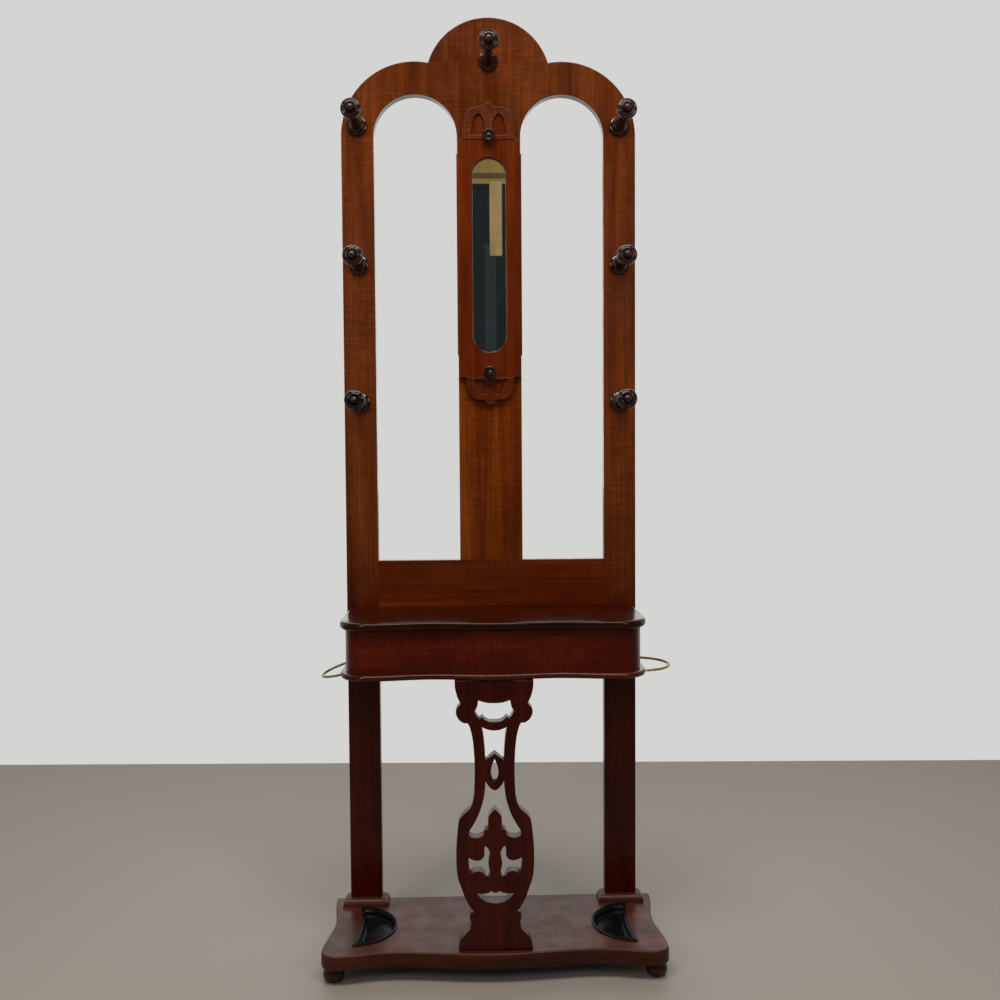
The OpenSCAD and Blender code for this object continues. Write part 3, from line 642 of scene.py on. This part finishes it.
def slot_line(half_w, straight, steps=24):
    """An upright slot with round ends, about the mirror's middle."""
    return (arc_of(0, MIRROR_MID + straight, half_w, 0, 180, steps)
            + arc_of(0, MIRROR_MID - straight, half_w, 180, 360, steps))


whole_back = bmesh.new()
add_board(whole_back, [both_sides(back_half_line), arch_hole, other_side(arch_hole),
                       slot_line(GLASS_HALF, GLASS_END)], -BOARD_T, 0, 1.2)
bmesh.ops.remove_doubles(whole_back, verts=whole_back.verts, dist=1e-6)
bmesh.ops.recalc_face_normals(whole_back, faces=whole_back.faces)
print("whole back", len(whole_back.faces), "faces")

CUT_MISS, HEAD_RISE = 0.01, 0.3
HEAD_CUT = SPRING + SHOULDER_R + HEAD_RISE
SIDE_CUT = STILE_IN - CUT_MISS
RAIL_CUT = RAIL_TOP + CUT_MISS


def sawn(name, material, cuts, stands_for):
    """Keep what lies on the inner side of each cut: (x or z, position, which side is kept)."""
    bm = whole_back.copy()
    for axis, at, keep in cuts:
        centre = place(at, 0, 0) if axis == "x" else place(0, 0, at)
        normal = Vector((keep, 0, 0)) if axis == "x" else Vector((0, 0, keep))
        bmesh.ops.bisect_plane(bm, geom=bm.verts[:] + bm.edges[:] + bm.faces[:], dist=1e-7,
                               plane_co=centre, plane_no=normal, clear_inner=True)
        bmesh.ops.holes_fill(bm, edges=[e for e in bm.edges if e.is_boundary], sides=0)
    finish_piece(bm, name, material, [stands_for])


sawn("crest_board", crest_wood, [("z", HEAD_CUT, 1)], "crest_lobe")
sawn("arched_head", arch_wood, [("z", SPRING, 1), ("z", HEAD_CUT, -1)], "arch_rail")
sawn("left_upright", back_wood, [("z", SPRING, -1), ("x", -SIDE_CUT, -1)], "left_stile")
sawn("right_upright", back_wood, [("z", SPRING, -1), ("x", SIDE_CUT, 1)], "right_stile")
sawn("splat_board", splat_wood, [("z", SPRING, -1), ("z", RAIL_CUT, 1), ("x", -SIDE_CUT, 1),
                                 ("x", SIDE_CUT, -1)], "centre_splat")
sawn("rail_board", rail_wood, [("z", RAIL_CUT, -1), ("x", -SIDE_CUT, 1), ("x", SIDE_CUT, -1)],
     "lower_rail")
whole_back.free()

# %% [markdown]
# ## The mirror's frame
# A thin applied frame has a low carving at each end: a rounded leaf with two sunk lobes and a small
# finial. The frame is one board with holes for the glass and the lobes, and a flat floor closes each
# lobe. The carvings are thin boards of a browner wood, laid over the frame's two ends.

# %% Mirror frame
FRAME_T = size_of("mirror_frame")[1][1] - 3
LOBE_DEEP, LEAF_SUNK, LEAF_PROUD = 3, 0.8, 1.7
GLASS_LAP = 6
SIGHT_HALF = GLASS_HALF - GLASS_LAP
SIGHT_HIGH = GLASS_END + SIGHT_HALF
upper_ear = SIGHT_HIGH + 37
lower_ear = SIGHT_HIGH + 55
upper_tip = curve_through([(57, 0), (57.5, 22), (54, 46), (44, 62), (28, 70), (12, 71), (9, 76), (4, 80),
                           (0, 81)], 6)
lower_tip = curve_through([(52, 0), (52, 16), (47, 34), (34, 47), (12, 51), (8, 57), (0, 61)], 6)
upper_lobe = curve_through([(8, 18), (9, 34), (13, 47), (22, 55), (31, 48), (35, 33), (38, 14), (30, 10),
                            (18, 10), (8, 18)], 5)[:-1]
lower_lobe = curve_through([(37, 5), (33, 11), (29, 21), (24, 32), (19.5, 36.5), (12, 35.5), (8.8, 22),
                            (9, 10), (20, 5.5), (37, 5)], 5)[:-1]


def above(line, ear):
    return moved(line, 0, MIRROR_MID + ear)


def below(line, ear):
    return [(x, MIRROR_MID - ear - z) for x, z in line]


def both_lobes(line):
    return [line, other_side(line)]


wide, narrow, shoulder = 70.5, SPLAT_HALF - 0.5, SIGHT_HIGH + 7
frame_side = [(narrow, -lower_ear), (narrow, -shoulder), (wide, -shoulder),
              (wide, shoulder), (narrow, shoulder), (narrow, upper_ear)]
frame_line = (list(reversed(below(lower_tip, lower_ear))) + moved(frame_side, 0, MIRROR_MID)
              + above(upper_tip, upper_ear))
lobes = both_lobes(above(upper_lobe, upper_ear)) + both_lobes(below(lower_lobe, lower_ear))
frame_mesh = bmesh.new()
openings = [slot_line(SIGHT_HALF, GLASS_END)] + lobes
add_board(frame_mesh, [both_sides(frame_line)] + openings, 0, FRAME_T, 1.5)
for lobe in lobes:
    add_board(frame_mesh, [lobe], 0.2, FRAME_T - LOBE_DEEP, 1.2)
finish_piece(frame_mesh, "mirror_surround", frame_wood, ["mirror_frame"])
for name, leaf, holes in (("upper_carving", above(upper_tip, upper_ear), lobes[:2]),
                          ("lower_carving", below(lower_tip, lower_ear), lobes[2:])):
    carving = bmesh.new()
    add_board(carving, [both_sides(leaf)] + holes, FRAME_T - LEAF_SUNK, FRAME_T + LEAF_PROUD, 1.2)
    finish_piece(carving, name, carved_wood, ["mirror_frame"])

# %% [markdown]
# ## Turned work
# Pegs, knobs and feet came off a lathe, so each is a profile spun round its axis. The pegs have a
# bell-shaped flange on the board, a waisted neck, a bead and a dished head with a button in it. A
# profile spun with bmesh keeps the same crisp fillets that a turner's chisel leaves.

# %% Lathe


def spun(name, points, centre, axis, steps, material, stands_for):
    """Spin a line of points right round an axis, and finish it as a piece."""
    bm = bmesh.new()
    verts = [bm.verts.new(p) for p in points]
    edges = [bm.edges.new(pair) for pair in zip(verts, verts[1:])]
    bmesh.ops.spin(bm, geom=verts + edges, cent=centre, axis=axis, dvec=(0, 0, 0),
                   angle=2 * math.pi, steps=steps, use_merge=True, use_duplicate=False)
    finish_piece(bm, name, material, [stands_for], crease=40)


def turned(node, profile, start):
    """A peg or knob from its profile of (radius, distance forward), round its node's own axis."""
    low, high = size_of(node)
    x, z = (low[0] + high[0]) / 2, (low[2] + high[2]) / 2
    spun("turned_" + node, [place(x + r, start + f, z) for r, f in profile], place(x, 0, z), (0, 1, 0),
         72, ebonised, node)


PEG_LONG = size_of("crest_peg")[1][1]
PEG_R = (size_of("crest_peg")[1][0] - size_of("crest_peg")[0][0]) / 2
peg_profile = ([(0, -20), (6, -20), (7, -19), (7, 0), (PEG_R - 2.4, 0)]
               + arc_of(PEG_R - 3, 4, 3, -75, 70, 8)
               + curve_through([(PEG_R - 4.2, 7.4), (14.6, 11), (11.4, 17), (9.6, 28), (8.9, 42),
                                (9.3, 60), (10.8, 76), (12.6, 91), (13.4, PEG_LONG - 34)], 5))
peg_head = (arc_of(12.6, -30, 3.5, -60, 60, 8) + [(11.9, -26), (12.4, -24)]
            + arc_of(PEG_R - 5, -17, 5, -75, 74, 14)
            + curve_through([(17.2, -12.5), (16.6, -12.7), (15.9, -11.8), (13.8, -10.4), (11.2, -10.2),
                             (9.6, -11), (8.7, -11.4)], 4)
            + [(8.5, -9.8), (8.2, -7.6)] + arc_of(0, -8, 8, 8, 90, 14))
peg_profile += moved(peg_head, 0, PEG_LONG)
for node in ["crest_peg"] + [f"{side}_{level}_peg" for side in ("left", "right")
                             for level in ("upper", "middle", "lower")]:
    turned(node, peg_profile, 0)

# %% Frame knobs
knob_profile = ([(0, -14), (4, -14), (4, 3), (7.4, 3), (6.4, 4.2), (6, 6.4), (7.4, 8.4), (10, 9.2)]
                + arc_of(11, 14, 4, -70, 62, 10)
                + curve_through([(12.6, 17.6), (10.4, 17.7), (8.4, 17.4)], 4)
                + [(7.6, 17.2), (7.2, 18)] + arc_of(0, 13, 7, 44, 90, 8))
for node in ("upper_frame_knob", "lower_frame_knob"):
    turned(node, knob_profile, FRAME_T)

# %% Bun feet
FOOT_R = (size_of("front_left_foot")[1][0] - size_of("front_left_foot")[0][0]) / 2
FOOT_SPIGOT_R, FOOT_SPIGOT_H = 9, 18
foot_shares = ([(0, 0), (0.60, 0), (0.66, 0.4)]
               + curve_through([(0.72, 1.2), (0.88, 4.4), (0.985, 9.5), (1, 14), (0.97, 19), (0.88, 24),
                                (0.76, 27.2)], 5)
               + [(0.70, 27.8), (0.74, 29.5), (0.74, BASE_LOW)])
foot_profile = ([(share * FOOT_R, z) for share, z in foot_shares]
                + [(FOOT_SPIGOT_R, BASE_LOW), (FOOT_SPIGOT_R, BASE_LOW + FOOT_SPIGOT_H),
                   (0, BASE_LOW + FOOT_SPIGOT_H)])
for node in ("front_left_foot", "front_right_foot", "rear_left_foot", "rear_right_foot"):
    low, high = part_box(node)
    middle = (low + high) / 2
    spun("bun_" + node, [(middle.x + r * MM, middle.y, z * MM) for r, z in foot_profile],
         (middle.x, middle.y, 0), (0, 0, 1), 64, foot_polish, node)

# %% [markdown]
# ## Serpentine boards
# The table and the base have fronts that swell in the middle and at the corners. Their edges are
# moulded, so the plan is repeated at several heights, each drawn in by a different amount, and
# bridge_loops joins them. That gives a true moulded edge, which a bevel of one width can't.

# %% Serpentine plans


def fall(x, wave, hollow, reach):
    """How far the front falls back: full at the middle and corners, hollowest at the distance hollow."""
    d = abs(x)
    if d < hollow:
        return wave * (1 - math.cos(math.pi * d / hollow)) / 2
    return wave * (1 + math.cos(math.pi * (d - hollow) / (reach - hollow))) / 2


def serpentine(half, front, back, corner, wave, hollow, waist, inset=0.0, steps=72):
    """Plan points (x, f), drawn in by inset all round but the back."""
    reach = half - corner
    line = [(x, front - inset - fall(x, wave, hollow, reach))
            for x in (reach * (2 * i / steps - 1) for i in range(steps))]
    line += [(reach + (corner - inset) * math.sin(a), front - corner + (corner - inset) * math.cos(a))
             for a in (math.radians(90 * i / 16) for i in range(17))]
    side = [(half - inset - waist * math.sin(math.pi * t) ** 2, (front - corner) * (1 - t) + back * t)
            for t in (i / 20 for i in range(1, 20))]
    right = line[steps:] + (side if waist else []) + [(half - inset, back)]
    return line[:steps] + right + [(-x, f) for x, f in reversed(right)][:-1]


def table_plan(inset):
    return serpentine(TABLE_HALF, TABLE_DEEP, 0, TABLE_CORNER, TABLE_WAVE, TABLE_HALF - TABLE_HOLLOW_IN,
                      0, inset)


def base_plan(inset):
    return serpentine(BASE_HALF, BASE_DEEP, -BOARD_T - BASE_BEHIND, BASE_CORNER, BASE_WAVE,
                      BASE_HALF - BASE_HOLLOW_IN, BASE_WAIST, inset)


TABLE_CORNER, TABLE_WAVE, TABLE_HOLLOW_IN = 60, 13, 186
BASE_CORNER, BASE_WAVE, BASE_HOLLOW_IN, BASE_WAIST, BASE_BEHIND = 30, 15, 140, 13, 6
TABLE_HALF, TABLE_DEEP = size_of("table_top")[1][0], size_of("table_top")[1][1]
BASE_HALF, BASE_DEEP = size_of("base_board")[1][0], size_of("base_board")[1][1]
print("table", round(TABLE_HALF), round(TABLE_DEEP), "base", round(BASE_HALF), round(BASE_DEEP))

# %% Stacking a plan


def stacked(bm, plan, levels, holes=()):
    """Bridge the plan at each (inset, height), then close the bottom and the top round any holes."""
    rings = [closed_line(bm, [place(x, f, z) for x, f in plan(inset)]) for inset, z in levels]
    for lower, upper in zip(rings, rings[1:]):
        bmesh.ops.bridge_loops(bm, edges=lower + upper)
    caps = [list(rings[0]), list(rings[-1])]
    for hole in holes:
        walls = [closed_line(bm, [place(x, f, levels[k][1]) for x, f in hole]) for k in (0, -1)]
        bmesh.ops.bridge_loops(bm, edges=walls[0] + walls[1])
        caps[0] += walls[0]
        caps[1] += walls[1]
    for cap in caps:
        filled(bm, cap)


# %% Table top, bottom board and frieze
FRIEZE_TOP, FRIEZE_LOW = size_of("frieze_front")[1][2], size_of("frieze_front")[0][2]
NOSING = 11
TABLE_LEVELS = [(9, 17), (5.2, 16.97), (4.6, 16), (2.4, 14.8), (0.9, 13.4), (0.2, 11.6), (0, 10),
                (0, 7), (0.3, 4.8), (1.2, 2.6), (2.6, 1.1), (4.4, 0.2), (6.2, 0.04), (7, 0)]
table = bmesh.new()
stacked(table, table_plan, [(inset, TABLE_H - drop) for inset, drop in TABLE_LEVELS])
finish_piece(table, "serpentine_table_top", table_wood, ["table_top"])

UNDER_LEVELS = [(9, 0), (5.5, 0.03), (3, 0.6), (1.1, 2.2), (0.2, 4.4), (0, 6.4), (0.5, 8.8),
                (1.9, 10.8), (4, 11.8), (6, 11.96), (9, 12)]
under = bmesh.new()
stacked(under, table_plan, [(inset, FLOOR_LOW + rise) for inset, rise in UNDER_LEVELS])
finish_piece(under, "moulded_bottom_board", edge_wood, ["frieze_floor"])


def open_band(inset):
    """The plan without its back edge, from the left end round to the right."""
    line = table_plan(inset)
    start = min(range(len(line)), key=lambda i: (line[i][1], line[i][0]))
    return line[start:] + line[:start]


FRIEZE_T = 20
band_out, band_in = open_band(NOSING), open_band(NOSING + FRIEZE_T)
band = bmesh.new()
ends = closed_line(band, [place(x, f, FRIEZE_LOW) for x, f in band_out + list(reversed(band_in))])
lifted(band, filled(band, ends), Vector((0, 0, (FRIEZE_TOP - FRIEZE_LOW) * MM)), first=True)
finish_piece(band, "serpentine_frieze", frieze_wood,
             ["frieze_front", "left_frieze_corner", "right_frieze_corner", "left_frieze_side",
              "right_frieze_side"], crease=30)

# %% [markdown]
# ## The base
# The base board carries everything. A tray-shaped hole is cut near each end for the umbrella drips,
# and a quarter-round block fits round the foot of each stile.

# %% Base board and plinths
TRAY_MID, TRAY_HALF_LEN, TRAY_W, TRAY_HOLLOW = 111, 90, 86, 7
TRAY_TIP = size_of("right_drip_tray")[1][0]
TRAY_LOW = size_of("right_drip_tray")[0][2]
TRAY_GAP = 4.5


def tray_line(inset, side=1):
    """Plan of a drip tray: a long curve inwards and a slightly hollow outer side."""
    half = TRAY_HALF_LEN
    b = half - 2.2 * inset
    tip = TRAY_TIP - inset - TRAY_HOLLOW * (1 - (b / half) ** 2)
    a = tip - (TRAY_TIP - TRAY_W + inset)
    line = [(tip - a * math.cos(t), b * math.sin(t)) for t in
            (math.radians(-90 + 180 * i / 64) for i in range(65))]
    line += [(tip - TRAY_HOLLOW * ((b / half) ** 2 - (y / half) ** 2), y) for y in
             (b * (1 - 2 * i / 24) for i in range(1, 24))]
    return [(side * x, TRAY_MID + y) for x, y in line]


BASE_UNDER_EDGE = [(9, 0), (6, 0.03), (3.4, 0.6), (1.4, 2.2), (0.3, 5), (0, 8)]
BASE_TOP_EDGE = [(0, 5.5), (0.2, 3.6), (0.9, 1.8), (2.0, 0.6), (3.4, 0.1), (4.8, 0.03), (6, 0)]
base_levels = ([(inset, BASE_LOW + rise) for inset, rise in BASE_UNDER_EDGE]
               + [(inset, BASE_TOP - drop) for inset, drop in BASE_TOP_EDGE])
base = bmesh.new()
stacked(base, base_plan, base_levels, [tray_line(TRAY_GAP, side) for side in (-1, 1)])
finish_piece(base, "serpentine_base_board", base_wood, ["base_board"])

PLINTH_H = size_of("right_plinth")[1][2] - BASE_TOP
PLINTH_COVE, PLINTH_STEPS = 14.7, 12
for node, side in (("left_plinth", -1), ("right_plinth", 1)):
    low, high = size_of(node)
    block = bmesh.new()
    rings = []
    for i in range(PLINTH_STEPS + 1):
        angle = math.radians(90 * i / PLINTH_STEPS)
        drawn_in = PLINTH_COVE * (1 - math.cos(angle))
        left, right, front = low[0] + drawn_in, high[0] - drawn_in, high[1] - drawn_in
        z = BASE_TOP + PLINTH_H * math.sin(angle)
        inner, outer = sorted((side * STILE_IN, side * BACK_HALF))
        rings.append(closed_line(block, [place(x, f, z) for x, f in (
            (left, -BOARD_T), (left, front), (right, front), (right, -BOARD_T), (outer, -BOARD_T),
            (outer, 0), (inner, 0), (inner, -BOARD_T))]))
    for lower, upper in zip(rings, rings[1:]):
        bmesh.ops.bridge_loops(block, edges=lower + upper)
    for ring in (rings[0], rings[-1]):
        filled(block, ring)
    finish_piece(block, "quarter_round_" + node, base_wood, [node], crease=30)

# %% [markdown]
# ## Drip trays
# Each tray was pressed from thin iron, with a rolled rim that laps the edge of its hole, and it
# lifts straight out for emptying. The same plan at different insets makes the outside, the roll
# and the inside in one closed skin.

# %% Drip trays
TRAY_LEVELS = [(12, 0), (8.4, 0.3), (6.6, 1.6), (6, 4), (6, 13.8), (5.2, 15.1), (1.6, 15.3),
               (0.5, 15.9), (0, 17), (0.3, 18.1), (1.2, 18.8), (2.6, 19), (4, 18.7), (5.6, 17.7),
               (7, 16), (8, 13.6), (8.2, 7), (9, 4.2), (11, 2.5), (14, 2)]
tray_levels = [(inset, TRAY_LOW + rise) for inset, rise in TRAY_LEVELS]
for node, body, side in (("left_drip_tray", "left_tray", -1), ("right_drip_tray", "right_tray", 1)):
    tray = bmesh.new()
    stacked(tray, lambda inset: tray_line(inset, side), tray_levels)
    finish_piece(tray, "pressed_" + node, japanned, [node], body)

# %% [markdown]
# ## The fretted support
# The support under the table is one thick board, fretted with a shield, a crescent, an almond, a
# bell, two scrolls and a smile. Half of each outline is given from the middle outwards, and the
# other half is its mirror image, so the fretwork is symmetrical as the sawyer meant it to be.

# %% Fretted support
fret_half = (curve_through([(79, 553), (78.5, 538), (74, 520), (67.5, 506)], 6)
             + curve_through([(69, 503.5), (75.5, 496), (77, 486), (71.5, 474), (62, 467), (54, 466.5)],
                             6)
             + curve_through([(50, 460), (45, 440), (42, 415), (40.5, 388)], 4)
             + curve_through([(40, 375), (40.5, 350), (41.5, 326), (44, 307), (52, 291), (64, 280),
                              (72, 269), (76, 243), (78.5, 210), (78.5, 178), (76, 152), (67.5, 126),
                              (60, 106), (50, 88), (42, 81)], 5)
             + curve_through([(50, 79), (52, 74), (52, 66), (49.5, 58), (48.5, 53)], 5)
             + curve_through([(52.5, 44), (62, 34), (70.5, 24), (74.3, 12)], 5) + [(75, 4), (75, 0)])
shield = (curve_through([(0, 506.5), (12, 507), (22, 509), (32, 512.5)], 4)
          + curve_through([(33.5, 504), (35, 498), (39.7, 490)], 4)
          + curve_through([(35, 481.5), (30.5, 474)], 2) + [(24.5, 479)]
          + curve_through([(19, 473), (11, 469.3), (0, 468.5)], 5))
crescent = (curve_through([(0, 451), (12, 452.5), (25.4, 458)], 4)
            + curve_through([(22.5, 443), (20, 418), (18.5, 391)], 4)
            + curve_through([(15.5, 391.5), (9, 397.5), (0, 404.5)], 4))
almond = curve_through([(0, 393), (5, 381), (7.5, 368), (5, 355), (0, 344.5)], 6)
bell = (curve_through([(0, 329), (7, 332.5), (14, 340), (18.5, 348)], 4)
        + curve_through([(19.5, 335), (22, 315), (28, 293), (37, 271), (51.5, 247)], 5)
        + curve_through([(53, 238), (46, 233.5), (34, 233), (24, 237.5)], 5)
        + curve_through([(22.5, 245), (18.5, 250.5), (14.5, 248.5), (14, 256), (14, 267), (11, 279),
                         (0, 291)], 5))
scroll = (curve_through([(20.4, 215.5), (14.5, 210), (10.8, 200), (12.5, 190), (14, 181), (12.8, 171),
                         (10.8, 163), (12.5, 152), (17.5, 143.5)], 5)
          + curve_through([(20.5, 152), (24.5, 160), (33, 164), (43, 162.5), (51, 158.5)], 5)
          + curve_through([(53, 169), (53.8, 181), (54, 192)], 3)
          + curve_through([(47, 187.5), (36, 185.5), (27, 188.5), (22, 196), (22.3, 206)], 5))
smile = ([(0, 119)] + curve_through([(5, 120), (9, 122.5), (13.5, 119.5), (25, 117.5), (37.5, 118.5)], 4)
         + curve_through([(30, 108.5), (17, 100.5), (0, 97.5)], 5))
fret_low, fret_high = size_of("fret_support")
halves = (fret_half, shield, crescent, almond, bell, smile)
fret_loops = [both_sides(half) for half in halves] + [scroll, other_side(scroll)]
fret = bmesh.new()
add_board(fret, [moved(loop, 0, BASE_TOP) for loop in fret_loops], fret_low[1], fret_high[1], 1.3)
finish_piece(fret, "fretted_front_support", fret_wood, ["fret_support"])

# %% [markdown]
# ## Twisted stick rings
# A ring of twisted brass rod stands out from each side of the table to keep sticks upright. The rod
# is a rounded square bar that turns as it goes, so a section is carried along the hoop one step at a
# time and turned a little at each step. A bump texture would not show on its outline.

# %% Stick rings
RING_R, RING_D, RING_MID, RING_SPIGOT, RING_IN, TWIST = 67.5, 5.5, 112, 14, 8, 43
RING_FLUTE = 0.10
RING_Z = FLOOR_LOW + 6


def ring_path(slipped):
    """Where the rod goes: (outwards, along, heading in degrees), in steps of two to four mm."""
    straight = RING_SPIGOT - slipped
    line = [(-straight * (1 - i / 4), -RING_R, 0.0) for i in range(4)]
    line += [(RING_R * math.cos(a), RING_R * math.sin(a), math.degrees(a) + 90)
             for a in (math.radians(-90 + 180 * i / 106) for i in range(107))]
    return line + [(-straight * i / 4, RING_R, 180.0) for i in range(1, 5)]


def twisted_ring(node, side, droop, slipped):
    pivot = Matrix.Translation(place(side * (TABLE_HALF - RING_IN), RING_MID, RING_Z))
    tilt = Matrix.Rotation(math.radians(side * droop), 4, "Y") @ Matrix.Translation(
        (-side * slipped * MM, 0, 0))
    flip = Matrix.Diagonal((side, 1, 1, 1))
    steps = ring_path(slipped)
    run, frames = 0.0, []
    for i, (u, v, heading) in enumerate(steps):
        run += math.dist(steps[i - 1][:2], (u, v)) if i else 0
        local = (Matrix.Translation((u * MM, v * MM, 0)) @ Matrix.Rotation(math.radians(heading), 4, "Z")
                 @ Matrix.Rotation(2 * math.pi * run / TWIST, 4, "X"))
        frames.append(pivot @ tilt @ flip @ local)
    bm = bmesh.new()
    angles = [2 * math.pi * i / 20 for i in range(20)]
    corners = [(a, RING_D / 2 * (1 - RING_FLUTE * (1 - math.cos(4 * a)))) for a in angles]
    ring = closed_line(bm, [frames[0] @ Vector((0, r * MM * math.cos(a), r * MM * math.sin(a)))
                            for a, r in corners])
    bmesh.ops.edgeloop_fill(bm, edges=ring)
    for before, after in zip(frames, frames[1:]):
        grown = bmesh.ops.extrude_edge_only(bm, edges=ring)["geom"]
        ring = [g for g in grown if isinstance(g, bmesh.types.BMEdge)]
        moved_verts = [g for g in grown if isinstance(g, bmesh.types.BMVert)]
        bmesh.ops.transform(bm, matrix=after @ before.inverted(), verts=moved_verts)
    bmesh.ops.edgeloop_fill(bm, edges=ring)
    finish_piece(bm, "twisted_" + node, old_brass, [node], crease=50)


twisted_ring("left_stick_ring", -1, 16, 12)
twisted_ring("right_stick_ring", 1, 0, 0)

# %% [markdown]
# ## Pieces that keep their CAD shape
# The glass, its backboard, the wedges, blocks, dowels and screws are simple shapes that are mostly
# out of sight, and they are right as they are. They only need their own finishes.

# %% Finishes on CAD nodes
for node, material in (("mirror_glass", silvering), ("mirror_backboard", plain_board),
                       ("mirror_wedges", pine), ("glue_blocks", pine), ("fret_dowels", pine),
                       ("backboard_screws", screw_brass), ("table_screws", screw_brass)):
    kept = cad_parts[node]
    kept.data.materials.clear()
    kept.data.materials.append(material)
print("nodes kept", len([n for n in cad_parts.values() if not n.hide_render]))

# %% [markdown]
# ## What the mirror sees
# A mirror shows the room behind the viewer, so an empty studio would leave it blank. A dark card
# with a golden one above it stands behind the camera, and three narrower cards just in front of them
# break up the two tones. They stand in for a room that isn't modelled. Only reflections see them.

# %% Mirror cards


def card(name, low_z, high_z, colour, left=-0.35, right=0.45, at=-2.69):
    bm = bmesh.new()
    closed_line(bm, [(left, at, low_z), (right, at, low_z), (right, at, high_z), (left, at, high_z)])
    bmesh.ops.contextual_create(bm, geom=bm.edges[:])
    mesh = mesh_of(bm, name)
    material = bpy.data.materials.new(name)
    material.use_nodes = True
    tree = material.node_tree
    tree.nodes.clear()
    glow = add_node(tree, "Emission")
    glow.inputs["Color"].default_value = (*colour, 1)
    glow.inputs["Strength"].default_value = 1.0
    end = add_node(tree, "OutputMaterial")
    tree.links.new(glow.outputs["Emission"], end.inputs["Surface"])
    mesh.materials.append(material)
    thing = linked(name, mesh)
    thing.visible_camera = False
    thing.visible_diffuse = False
    thing.visible_shadow = False


card("dark_card", 1.2, 2.39, (0.016, 0.020, 0.020), at=-2.7)
card("golden_card", 2.39, 2.75, (0.26, 0.165, 0.060), at=-2.7)
card("golden_stripe", 2.412, 2.44, (0.10, 0.066, 0.030))
card("golden_post", 2.04, 2.40, (0.34, 0.235, 0.110), 0.045, 0.105)
card("teal_glow", 1.40, 2.10, (0.026, 0.036, 0.037), 0.02, 0.075)
